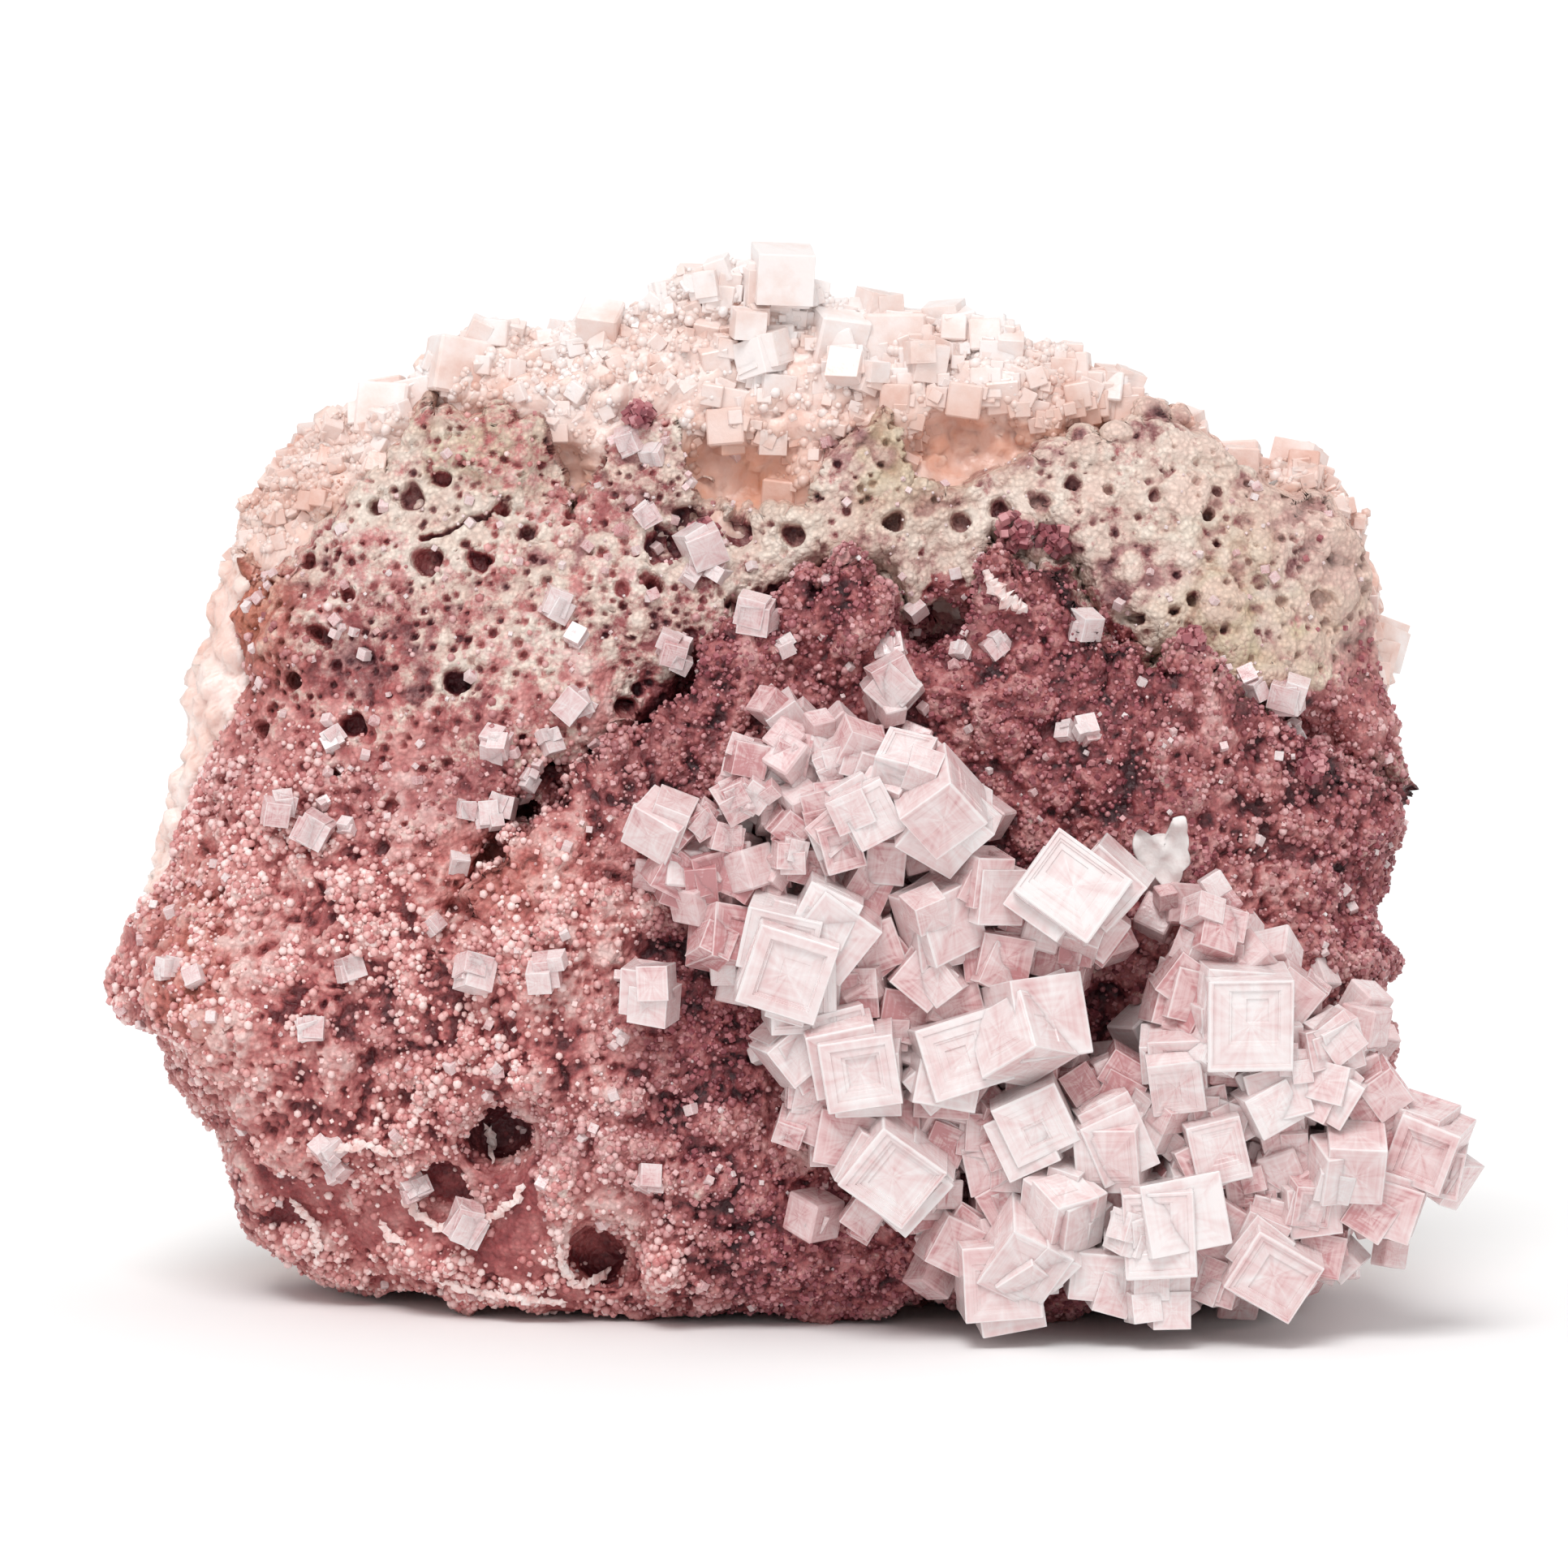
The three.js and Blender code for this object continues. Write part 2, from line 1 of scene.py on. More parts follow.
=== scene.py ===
import bpy
import numpy as np
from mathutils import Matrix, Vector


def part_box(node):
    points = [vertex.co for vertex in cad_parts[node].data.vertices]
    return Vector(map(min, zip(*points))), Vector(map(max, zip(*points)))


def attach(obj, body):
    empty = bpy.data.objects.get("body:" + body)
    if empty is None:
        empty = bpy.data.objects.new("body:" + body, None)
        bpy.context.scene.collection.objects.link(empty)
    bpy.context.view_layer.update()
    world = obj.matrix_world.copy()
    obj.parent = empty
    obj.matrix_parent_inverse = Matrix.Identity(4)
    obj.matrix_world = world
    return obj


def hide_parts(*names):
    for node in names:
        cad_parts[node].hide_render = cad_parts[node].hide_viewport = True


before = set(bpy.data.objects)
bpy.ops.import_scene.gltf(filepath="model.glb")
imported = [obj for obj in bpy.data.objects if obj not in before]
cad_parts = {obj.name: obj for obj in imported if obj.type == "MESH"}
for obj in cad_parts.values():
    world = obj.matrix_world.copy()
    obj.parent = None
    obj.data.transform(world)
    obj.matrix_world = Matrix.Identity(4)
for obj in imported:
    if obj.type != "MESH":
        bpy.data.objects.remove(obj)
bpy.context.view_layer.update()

# Table, light and camera. The specimen stands on a matt white top under a white sky and one wide soft lamp,
# seen from a little above its middle, 0.9 m away, as a catalogue picture is taken.
MM = 0.001
camera_distance = 0.9
camera_elevation = np.radians(6)
camera_aim = np.array([0.54, 0, 58.6]) * MM
camera_lens = 183.7  # mm, on a sensor 36 mm wide

scene = bpy.context.scene
scene.view_settings.view_transform = "Standard"


def put_mesh(name, vertices, *face_sets, smooth=True):
    """A mesh object from vertex rows in millimetres and arrays of faces with three or four corners."""
    mesh = bpy.data.meshes.new(name)
    corners = np.concatenate([faces.ravel() for faces in face_sets]).astype(np.int32)
    sizes = np.concatenate([np.full(len(faces), faces.shape[1]) for faces in face_sets])
    mesh.vertices.add(len(vertices))
    mesh.vertices.foreach_set("co", (np.asarray(vertices) * MM).astype(np.float32).ravel())
    mesh.loops.add(len(corners))
    mesh.loops.foreach_set("vertex_index", corners)
    mesh.polygons.add(len(sizes))
    mesh.polygons.foreach_set("loop_start", (np.cumsum(sizes) - sizes).astype(np.int32))
    mesh.update(calc_edges=True)
    mesh.validate()
    mesh.polygons.foreach_set("use_smooth", np.full(len(mesh.polygons), smooth))
    piece = bpy.data.objects.new(name, mesh)
    scene.collection.objects.link(piece)
    return piece


def new_material(name):
    """A material, a function that adds a node with its sockets set, and one that dresses the shader."""
    material = bpy.data.materials.new(name)
    material.use_nodes = True
    tree = material.node_tree
    shader = tree.nodes["Principled BSDF"]

    def add(kind, settings=None, **inputs):
        """A node; sockets are given by name, with _ for a space, or by number after a _."""
        node = tree.nodes.new("ShaderNode" + kind)
        for key, value in (settings or {}).items():
            setattr(node, key, value)
        for key, value in inputs.items():
            socket = node.inputs[int(key[1:])] if key[0] == "_" else node.inputs[key.replace("_", " ")]
            if isinstance(value, bpy.types.NodeSocket):
                tree.links.new(value, socket)
            else:
                socket.default_value = value
        return node

    def dress(color, relief=None, **sockets):
        """Gives the shader its colour, a relief of height, strength and depth in mm, and plain values."""
        tree.links.new(color, shader.inputs["Base Color"])
        if relief:
            height, strength, depth = relief
            bump = add("Bump", Height=height, Strength=strength, Distance=depth * MM)
            tree.links.new(bump.outputs[0], shader.inputs["Normal"])
        for key, value in sockets.items():
            shader.inputs[key.replace("_", " ")].default_value = value

    return material, add, dress


def clouds(scale, detail, roughness=0.5):
    """Soft noise from 0 to 1 in the piece's own space, scale blots to the metre."""
    place = add("TexCoord").outputs["Object"]
    return add("TexNoise", Vector=place, Scale=scale, Detail=detail, Roughness=roughness).outputs["Fac"]


table_half = 60000.0
table_corners = np.array([[-1, -1, 0], [1, -1, 0], [1, 1, 0], [-1, 1, 0]]) * table_half
table_top = put_mesh("table_top", table_corners, np.array([[0, 1, 2, 3]]))
table_white, add, dress = new_material("table_white")
shade = add("MapRange", Value=clouds(40.0, 3.0), To_Min=0.9, To_Max=0.93).outputs[0]
dress(add("CombineColor", _0=shade, _1=shade, _2=shade).outputs[0], Roughness=0.8)
table_top.data.materials.append(table_white)

world = bpy.data.worlds.new("white_sky")
world.use_nodes = True
world.node_tree.nodes["Background"].inputs["Color"].default_value = (1, 1, 1, 1)
world.node_tree.nodes["Background"].inputs["Strength"].default_value = 0.76
scene.world = world

soft_lamp = bpy.data.lights.new("overhead_softbox", "SUN")
soft_lamp.energy = 1.8
soft_lamp.angle = np.radians(28)
lamp_holder = bpy.data.objects.new("overhead_softbox", soft_lamp)
lamp_holder.rotation_euler = (np.radians(34), np.radians(-10), 0)
scene.collection.objects.link(lamp_holder)

camera = bpy.data.objects.new("camera", bpy.data.cameras.new("camera"))
camera.data.lens = camera_lens
camera.data.sensor_width = 36
camera.location = camera_aim + camera_distance * np.array(
    [0, -np.cos(camera_elevation), np.sin(camera_elevation)])
camera.rotation_euler = (np.pi / 2 - camera_elevation, 0, 0)
scene.collection.objects.link(camera)
scene.camera = camera

# Pale halite. One massive slab of translucent pale pink salt forms the back and the crest of the specimen.
# It grew first; everything else sits on it. Its face shows only above and beside the crust.
body_centre = (-3, 52)
half_width = 75
seam_at_floor, seam_lean = 11, 0.115
back_at_floor, back_lean, back_side_fall = 35.2, 0.075, 9
halite_outline = [
    (66, 52), (68, 62), (69, 70), (67, 79), (65, 88), (61, 94), (55, 94), (48, 97), (42, 100), (37, 104),
    (30, 107), (23, 110), (15, 111), (7, 112), (3, 115), (-4, 116), (-11, 115), (-16, 112), (-25, 109),
    (-33, 110), (-38, 107), (-42, 103), (-48, 101), (-56, 95), (-60, 90), (-62, 83), (-65, 73), (-68, 62),
    (-70, 53), (-72, 46), (-73, 38), (-66, 30), (-60, 18), (-56, 6), (-44, -2), (-20, -4), (10, -4),
    (40, -3), (56, 0), (61, 10), (65, 27), (66, 40)]
# Hollows behind the crust's upper edge, where the salt glows orange: x, z, half width, half height, depth
glowing_hollows = [(-23.5, 93.5, 3, 3.5, 4), (-5, 93.5, 7, 4, 4), (22, 96.5, 8, 4, 4), (-34, 97, 4, 3, 2),
                   (37, 98, 5, 3, 2)]
front_by_height = [(0, 12), (8, 16), (18, 19), (32, 20), (45, 18), (60, 15), (75, 12), (90, 8), (104, 5),
                   (118, 0)]
side_fall = 12  # how far the front falls back at both sides


def smoothstep(t):
    """0 below 0, 1 above 1, and 3 t squared less 2 t cubed in between."""
    t = np.clip(t, 0, 1)
    return t * t * (3 - 2 * t)


def soft_min(a, b, k):
    """The smaller of a and b, rounded over where they are within k of each other."""
    h = np.maximum(k - np.abs(a - b), 0) / k
    return np.minimum(a, b) - h * h * k / 4


def along(line, at):
    """A line's second number where its first one is at, straight between its points."""
    return np.interp(at, *np.transpose(line))


def soft_spots(x, z, spots):
    """Sum of round spots: strength times e to minus the squared distance, measured in half widths."""
    return sum(strength * np.exp(-((x - cx) / w) ** 2 - ((z - cz) / h) ** 2)
               for cx, cz, w, h, strength in spots)


def seam_plane(z):
    """The y of the plane between crust and halite: it leans forward with height."""
    return seam_at_floor - seam_lean * z


def slow_waves(x, z):
    """Lumps some 4 cm long: a sine along x, bent by the height, times a cosine along z."""
    return np.sin(x / 6.5 + 1.3 * np.sin(z / 11)) * np.cos(z / 7.5 + x / 23)


def noise(points, scale, seed):
    """Value noise from -1 to 1: random numbers on a lattice, scale mm apart, blended smoothly in between."""
    side = 32
    table = np.random.default_rng(seed).uniform(-1, 1, (side, side, side)).astype(np.float32)
    at = (points / scale).astype(np.float32)
    low = np.floor(at).astype(np.int32)
    f = smoothstep(at - low)
    total = 0
    for corner in np.ndindex(2, 2, 2):
        weight = 1
        for n in range(3):
            weight = weight * (f[..., n] if corner[n] else 1 - f[..., n])
        i, j, k = ((low[..., n] + corner[n]) % side for n in range(3))
        total = total + weight * table[i, j, k]
    return total


def rough_noise(points, scale, seed, octaves=3):
    """Value noise summed over octaves, each half as wide and half as strong as the one before."""
    return sum(noise(points, scale / 2**n, seed + n) / 2**n for n in range(octaves))


def cells(points, size, seed):
    """Distance in mm to the nearest point of a jittered lattice, size mm apart, and its own two numbers."""
    luck = np.random.default_rng(seed).random((4096, 5)).astype(np.float32)
    at = (points / size).astype(np.float32)
    low = np.floor(at).astype(np.int32)
    best = np.full(at.shape[:-1], 9, np.float32)
    own = np.zeros(at.shape[:-1] + (2,), np.float32)
    for step in np.ndindex(3, 3, 3):
        cell = low + (np.array(step, np.int32) - 1)
        pick = luck[(cell[..., 0] * 73 + cell[..., 1] * 1571 + cell[..., 2] * 3011) % 4096]
        away = np.sqrt(((at - cell - 0.15 - 0.7 * pick[..., :3]) ** 2).sum(axis=-1))
        closer = away < best
        best[closer] = away[closer]
        own[closer] = pick[closer][:, 3:]
    return best * size, own


def radius_around(outline, centre, angle):
    """The outline's distance from the centre at an angle, straight-lined between its points."""
    rim = np.array(outline, float) - centre
    x, z = rim.T
    return np.interp(angle, np.arctan2(z, x), np.hypot(x, z), period=2 * np.pi)


def square_grid(columns, rows):
    """The two coordinates of a grid's points, each from -1 to 1."""
    return np.meshgrid(np.linspace(-1, 1, columns + 1), np.linspace(-1, 1, rows + 1))


def disc_grid(columns, rows):
    """Radius and angle of a square grid bent into a disc by (u sqrt(1 - v v / 2), v sqrt(1 - u u / 2))."""
    u, v = square_grid(columns, rows)
    a, b = u * np.sqrt(1 - v * v / 2), v * np.sqrt(1 - u * u / 2)
    return np.minimum(np.hypot(a, b), 1), np.arctan2(b, a)


def half_pebble(outline, centre, spread, side, rim, face, columns, rows):
    """A grid bent into a disc, pushed out to the outline and domed from the rim depth to the face depth.
    The outer share of it, side, is the rounded flank."""
    t, angle = disc_grid(columns, rows)
    reach = soft_min(t / (1 - side), 1, 0.35) * spread * radius_around(outline, centre, angle)
    x = centre[0] + reach * np.cos(angle)
    z = np.maximum(centre[1] + reach * np.sin(angle), 0)
    depth = soft_min((1 - t) / side, 1, 0.35)
    return np.stack([x, rim(z) + depth * (face(x, z) - rim(z)), z], axis=-1)


def grid_normals(points):
    """Unit normals of a grid of points: the cross product of its two gradients."""
    across = np.cross(np.gradient(points, axis=1), np.gradient(points, axis=0))
    return across / np.maximum(np.linalg.norm(across, axis=-1, keepdims=True), 1e-9)


def grid_faces(rows, columns, first=0):
    """Four-cornered faces of a grid of rows by columns cells, counter-clockwise seen from the front."""
    a = (np.arange(rows)[:, None] * (columns + 1) + np.arange(columns)[None]).ravel() + first
    return np.stack([a, a + 1, a + columns + 2, a + columns + 1], axis=1)


def rim_loop(rows, columns):
    """Indices of a grid's edge vertices in order, counter-clockwise seen from the front."""
    index = np.arange((rows + 1) * (columns + 1)).reshape(rows + 1, columns + 1)
    return np.concatenate([index[0, :-1], index[:-1, -1], index[-1, :0:-1], index[:0:-1, 0]])


def paint(piece, name, values):
    """Puts one number or one colour per vertex on the mesh as a named attribute."""
    values = np.asarray(values, np.float32)
    if values.ndim == 1:
        layer = piece.data.attributes.new(name, "FLOAT", "POINT")
        layer.data.foreach_set("value", values)
    else:
        layer = piece.data.attributes.new(name, "FLOAT_COLOR", "POINT")
        opaque = np.column_stack([values, np.ones(len(values))])
        layer.data.foreach_set("color", opaque.astype(np.float32).ravel())


def halite_face(x, z):
    """The slab's own front: behind the crust up to a height, then set back, with the glowing hollows."""
    hollows = sum(d * np.exp(-(((x - cx) / w) ** 2 + ((z - cz) / h) ** 2) ** 2)
                  for cx, cz, w, h, d in glowing_hollows)
    under_crust = seam_plane(z) - 3 + 1.2 * slow_waves(1.4 * x, z)
    crest = 3.2 - along(front_by_height, z) + side_fall * (np.abs(x) / half_width) ** 3
    return under_crust + (crest - under_crust) * smoothstep((z - 76) / 12) + hollows


def halite_back(x, z):
    """The slab's back, which comes forward with height and towards both sides."""
    fall = back_side_fall * (np.abs(x) / half_width) ** 3
    return back_at_floor - back_lean * z - fall + 2.2 * slow_waves(x + 20, z)


def blocky_relief(points):
    """Broken, blocky salt in mm: flat-topped lumps 4 mm wide on slow lumps, with a little fine roughness."""
    away, luck = cells(points + 0.8 * noise(points, 3, 5)[..., None], 4.2, 6)
    blocks = 1.1 * luck[..., 0] * smoothstep((2.9 - away) / 0.9)
    away, luck = cells(points + 0.4 * noise(points, 2, 7)[..., None], 2.4, 8)
    blocks = blocks + 1.2 * luck[..., 0] * smoothstep((1.7 - away) / 0.45)
    return 1.2 * rough_noise(points, 9, 11, 3) + blocks - 0.9 + 0.2 * rough_noise(points, 1.3, 15, 2)


slab_columns, slab_rows = 220, 220
halite_spread = 1.01
halite_flank, behind_seam = 0.2, 4
front, back = (half_pebble(halite_outline, body_centre, halite_spread, halite_flank,
                           lambda z: seam_plane(z) + behind_seam, face, slab_columns, slab_rows)
               for face in (halite_face, halite_back))
front_out, back_out = grid_normals(front), -grid_normals(back)
on_edge = np.ones(front.shape[:2], bool)
on_edge[1:-1, 1:-1] = False
outward = front - [body_centre[0], 0, body_centre[1]]
outward[..., 1] = 0
outward /= np.maximum(np.linalg.norm(outward, axis=-1, keepdims=True), 1e-9)
front_moved, back_moved = (half + np.where(on_edge[..., None], outward, out) * blocky_relief(half)[..., None]
                           for half, out in ((front, front_out), (back, back_out)))
back_moved[on_edge] = front_moved[on_edge]
slab_points = np.concatenate([front_moved.reshape(-1, 3), back_moved.reshape(-1, 3)])
slab_points[:, 2] = np.maximum(slab_points[:, 2], 0)
offset = (slab_rows + 1) * (slab_columns + 1)
back_index = np.where(on_edge.ravel(), np.arange(offset), np.arange(offset) + offset)
back_faces = back_index[grid_faces(slab_rows, slab_columns)][:, ::-1]
pale_halite = put_mesh("pale_halite_slab", slab_points, grid_faces(slab_rows, slab_columns), back_faces)
glow_spots = soft_spots(slab_points[:, 0], slab_points[:, 2],
                        [(cx, cz, w, 1.2 * h, 1) for cx, cz, w, h, _ in glowing_hollows])
glow_band = 0.35 * smoothstep((104 - slab_points[:, 2]) / 12) * smoothstep((slab_points[:, 2] - 80) / 10)
front_half_y = 14
paint(pale_halite, "glow", np.clip(glow_spots + glow_band, 0, 1) * (slab_points[:, 1] < front_half_y))
halite_ior = 1.544


def grown(piece, material, node=None):
    """Finishes a grown piece: its material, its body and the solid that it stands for."""
    piece.data.materials.append(material)
    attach(piece, "root")
    if node:
        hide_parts(node)


def attribute(name, output="Fac"):
    """A value or colour that was painted on the mesh."""
    return add("Attribute", {"attribute_name": name}).outputs[output]


def ramp(source, *stops):
    """A colour ramp from a value: stops are a position and a colour."""
    node = add("ValToRGB", Fac=source)
    while len(node.color_ramp.elements) < len(stops):
        node.color_ramp.elements.new(0.5)
    for element, (position, color) in zip(node.color_ramp.elements, stops):
        element.position = position
        element.color = (*color, 1)
    return node.outputs["Color"]


def mix(share, first, second, blend="MIX"):
    """One colour laid over another by a share."""
    return add("Mix", {"data_type": "RGBA", "blend_type": blend}, _0=share, _6=first, _7=second).outputs[2]


def maths(operation, a, b=0.5, c=0.5):
    """One arithmetic node."""
    return add("Math", {"operation": operation}, _0=a, _1=b, _2=c).outputs[0]


def scaled(value, times, plus=None):
    """A value times another, and plus a third where there is one."""
    return maths("MULTIPLY", value, times) if plus is None else maths("MULTIPLY_ADD", value, times, plus)


pale_salt, add, dress = new_material("pale_salt")
place = add("TexCoord").outputs["Object"]
veil = clouds(110.0, 5.0, 0.6)
block_edges = add("TexVoronoi", Vector=place, Scale=420.0).outputs["Distance"]
salt_color = ramp(veil, (0.3, (0.78, 0.49, 0.41)), (0.62, (0.91, 0.76, 0.71)))
clear_share = add("MapRange", Value=veil, From_Min=0.25, From_Max=0.65, To_Min=1.0, To_Max=0.45).outputs[0]
salt_color = mix(scaled(attribute("glow"), clear_share), salt_color, (0.66, 0.27, 0.15, 1))
dress(salt_color, (scaled(block_edges, -1.2, clouds(900.0, 3.0)), 0.5, 0.4), Roughness=0.36,
      IOR=halite_ior, Subsurface_Weight=0.5, Subsurface_Radius=(1.0, 0.85, 0.78), Subsurface_Scale=1.5 * MM)
grown(pale_halite, pale_salt, "pale_halite")

# Crust. The porous matrix that grew over the slab's face, with the thicker sheet of red grains on its lower
# right, which ends in a ledge. It is one skin, cut in four only to keep each mesh small.
crust_outline = [
    (67, 52), (70, 57), (68, 63), (66, 70), (65, 78), (64, 84), (61, 90), (56, 92.5), (52, 95), (48, 98),
    (43, 101), (33, 101.5), (22, 102), (11, 103), (0, 103), (-11, 103), (-22, 102.5), (-32, 102.5),
    (-39, 102), (-43, 98), (-50, 92), (-55, 86.5), (-59, 82.5), (-61, 77), (-59, 70), (-62, 63), (-65, 55),
    (-69, 46), (-73, 40), (-75, 36), (-73, 32), (-68, 31), (-67, 26), (-61, 19), (-60, 11), (-54, 3),
    (-44, -2), (-30, -3), (-15, -3), (-3, -4), (10, -2), (18, 1), (28, -2), (42, -3), (56, 0), (61, 5),
    (63, 12), (64, 18), (67, 27), (66, 34), (68, 39), (65, 45)]
# Where the crust ends at its top and the slab shows: x, z
ragged_top = [
    (-62, 83), (-54.5, 85), (-50, 88.5), (-43, 94.5), (-39.3, 101), (-35, 100), (-32, 101.8), (-26.8, 101),
    (-25.5, 97.4), (-23.2, 91), (-20.5, 95), (-19.2, 98.3), (-16, 101), (-11.6, 102), (-10.6, 97), (-9.8, 93),
    (-7.1, 91.8), (0, 91.2), (3.4, 91.2), (4.8, 95.6), (8, 98.3), (11.6, 102), (13.6, 100), (14.6, 94.4),
    (17, 95.2), (21.4, 92.8), (29.5, 96.6), (39.3, 99), (42.9, 101), (48.2, 96.6), (51.8, 94), (57, 92),
    (61, 92), (65.2, 86.7)]
# The ledge, the sheet's upper edge: x, z
ledge_edge = [
    (-50, 30), (-37, 45.3), (-32.1, 52.6), (-23.2, 59.7), (-15.2, 66), (-9.8, 72.2), (-2.7, 77.6),
    (3.6, 81.2), (8.9, 83), (13.6, 79.4), (15.2, 75), (17.6, 76), (19.5, 77.6), (21.4, 78.5), (23.4, 86.5),
    (32, 86.5), (34.4, 82), (35.6, 77), (39.3, 76.8), (41, 72.4), (45.5, 71.4), (57.1, 66), (60.7, 65.2),
    (66, 60.7), (70, 58)]
sheet_thickness = 5
sheet_start = (-50, -24)
# Where the cream crust ends below and turns red: x, z, and over how many mm it does so
cream_limit = [(-64, 86, 14), (-56, 71, 44), (-44, 64, 50), (-30, 62, 50), (-18, 66, 40), (-8, 74, 20),
               (5, 80, 5), (20, 80, 4), (34, 76, 4), (46, 71, 4), (56, 67, 4), (62, 72, 5), (68, 82, 6)]
# Broad lumps and hollows of the crust: x, z, radius, height
relief_spots = [
    (-8, 10, 13, 3.5), (-55, 27, 12, 3), (-66, 36, 7, 3), (-30, 42, 14, 2.5), (27, 85, 5, 4),
    (9, 80, 6, 2.5), (45, 62, 12, 2.5), (60, 86, 8, 4), (33, 12, 16, 2), (-31, 21, 3.6, -6),
    (-37, 14, 4.5, -3.5), (-19, 8, 3.6, -5), (-50, 12, 8, -3), (17, 76, 3.2, -6), (-24, 60, 6, -3),
    (-14, 70, 5, -3), (-24, 92, 5, -3), (-6, 89, 6, -3.5), (37, 31, 7, -5), (36, 40, 7, -2)]
# Round holes large enough to be placed singly: x, z, radius, depth
large_holes = [
    (-41, 91, 1.5, 3), (-33.4, 84.3, 1.3, 3), (-39.4, 84.4, 1.5, 3), (-30.8, 90.2, 1.1, 3),
    (-47.4, 66.4, 1.4, 2.5), (-12.3, 86.4, 2.2, 2.8), (-8.5, 88.6, 2.6, 2.8), (-4.6, 88, 2, 2.4),
    (1.4, 87.4, 1.3, 3), (-4.8, 79.6, 1.3, 3), (-25, 60.4, 2, 5), (-28.6, 57, 1.5, 4),
    (-20.6, 64.4, 1.3, 4), (-17.2, 68.4, 1.3, 4), (17.8, 78, 2.2, 5), (12.8, 88.8, 1.2, 3),
    (20, 88.6, 1.1, 2), (24.6, 90, 1.3, 2), (32.8, 93, 0.8, 1.5), (36.6, 92, 0.7, 1.5),
    (41.6, 91.2, 0.9, 1.5), (39.8, 78, 0.7, 2), (43.7, 78.8, 0.6, 2), (45.8, 80, 0.7, 2),
    (61, 79.6, 1.2, 2), (-37.8, 93.4, 1, 2), (-27.8, 87.8, 0.9, 2), (-51, 76.3, 1.2, 2), (-48, 80.4, 1, 2),
    (47.6, 89, 0.8, 2), (29, 90.6, 1, 2), (-58, 65.6, 1, 2), (-44.6, 90, 0.9, 2), (-31, 21.6, 2.3, 1.7),
    (-37.4, 15.2, 2.6, 1.3), (-20.2, 7.8, 2, 1.8), (-54, 71, 1.1, 2), (-36, 71.4, 1.3, 2.5),
    (-43, 57.4, 1.1, 2), (-49, 61, 0.9, 2), (-14, 82, 1, 2.5)]


def crust_front(x, z):
    """The crust's front before its relief: forward by height, back at the sides, with lumps and hollows."""
    forward = along(front_by_height, z) - side_fall * (np.abs(x) / half_width) ** 3
    spots = sum(h * np.exp(-((x - sx) ** 2 + (z - sz) ** 2) / r**2) for sx, sz, r, h in relief_spots)
    return -(forward + spots + 0.9 * slow_waves(x, z))


def dome(away, radius):
    """Height from 0 to 1 of a half sphere of the radius over its centre."""
    return np.sqrt(np.clip(1 - (away / radius) ** 2, 0, 1))


def bumps(points, size, seed, radius, least=0):
    """Domes on a jittered lattice, each of its own height between the least and 1."""
    away, luck = cells(points, size, seed)
    return dome(away, radius) * (least + (1 - least) * luck[..., 0])


def blurred(field, reach):
    """The field's mean over squares of 2 reach + 1 cells a side, by running sums along both axes."""
    for _ in range(2):
        total = np.cumsum(np.pad(field, ((reach + 1, reach), (0, 0)), mode="edge"), axis=0)
        field = ((total[2 * reach + 1:] - total[:-2 * reach - 1]) / (2 * reach + 1)).T
    return field


crust_columns, crust_rows = 620, 600
crust_spread, crust_flank = 1.02, 0.3
crust_grid = half_pebble(crust_outline, body_centre, crust_spread, crust_flank, seam_plane, crust_front,
                         crust_columns, crust_rows)
crust_x, crust_z = crust_grid[..., 0], crust_grid[..., 2]
warp = rough_noise(crust_grid, 6, 31, 3)
fray = rough_noise(crust_grid, 2.4, 35, 2)

# the sheet lies on the crust below the ledge, and the crust dips a little along the foot of it
ledge_height = along(ledge_edge, crust_x) - 1.6 - crust_z + 2.4 * warp + 1.2 * fray
on_sheet = smoothstep(ledge_height / 2 + 0.5)
thins_out, is_full = sheet_start
thickness = (sheet_thickness + 1) * smoothstep((crust_x - thins_out) / (is_full - thins_out)) - 1
dip = 5 * np.exp(-(np.minimum(ledge_height + 1.2, 0) / 2.4) ** 2) * (1 - on_sheet)
lean_out = 2.4 * on_sheet * np.exp(-(ledge_height / 4.5) ** 2) * smoothstep((crust_x + 40) / 10)
rim_u, rim_v = square_grid(crust_columns, crust_rows)
thickness = np.maximum(thickness, 0) * smoothstep((1 - np.maximum(abs(rim_u), abs(rim_v))) / 0.12)
crust_grid[..., 1] -= thickness * on_sheet - dip * smoothstep((crust_x + 40) / 12)
crust_grid[..., 0] -= 0.5 * lean_out
crust_grid[..., 2] += 0.85 * lean_out
# above its ragged top the crust drops behind the slab's face
above_top = crust_z - along(ragged_top, crust_x) + 1.7 * warp + 1.6 * fray
sunk = smoothstep(above_top / 2.4 + 0.5)
behind_slab = halite_face(crust_x, crust_z) + 3.4
crust_grid[..., 2] -= 0.85 * np.maximum(above_top - 1.4, 0)
crust_grid[..., 1] += sunk * np.maximum(behind_slab - crust_grid[..., 1], 0)

crust_out = grid_normals(crust_grid)
limit_x, limit_z, limit_reach = np.transpose(cream_limit)
cream = smoothstep((crust_z - np.interp(crust_x, limit_x, limit_z) + 6 * warp)
                   / np.interp(crust_x, limit_x, limit_reach) + 0.5) * (1 - on_sheet)
cream *= 1 - 0.42 * smoothstep((4 - crust_x) / 24) * smoothstep((0.6 + warp + 0.4 * fray) / 0.9)
cream *= 1 - 0.2 * smoothstep((crust_x - 54) / 6)
porous = smoothstep((crust_z - 48 + 7 * warp) / 9) * (1 - on_sheet)
swell = 1.3 * rough_noise(crust_grid, 15, 41, 2)
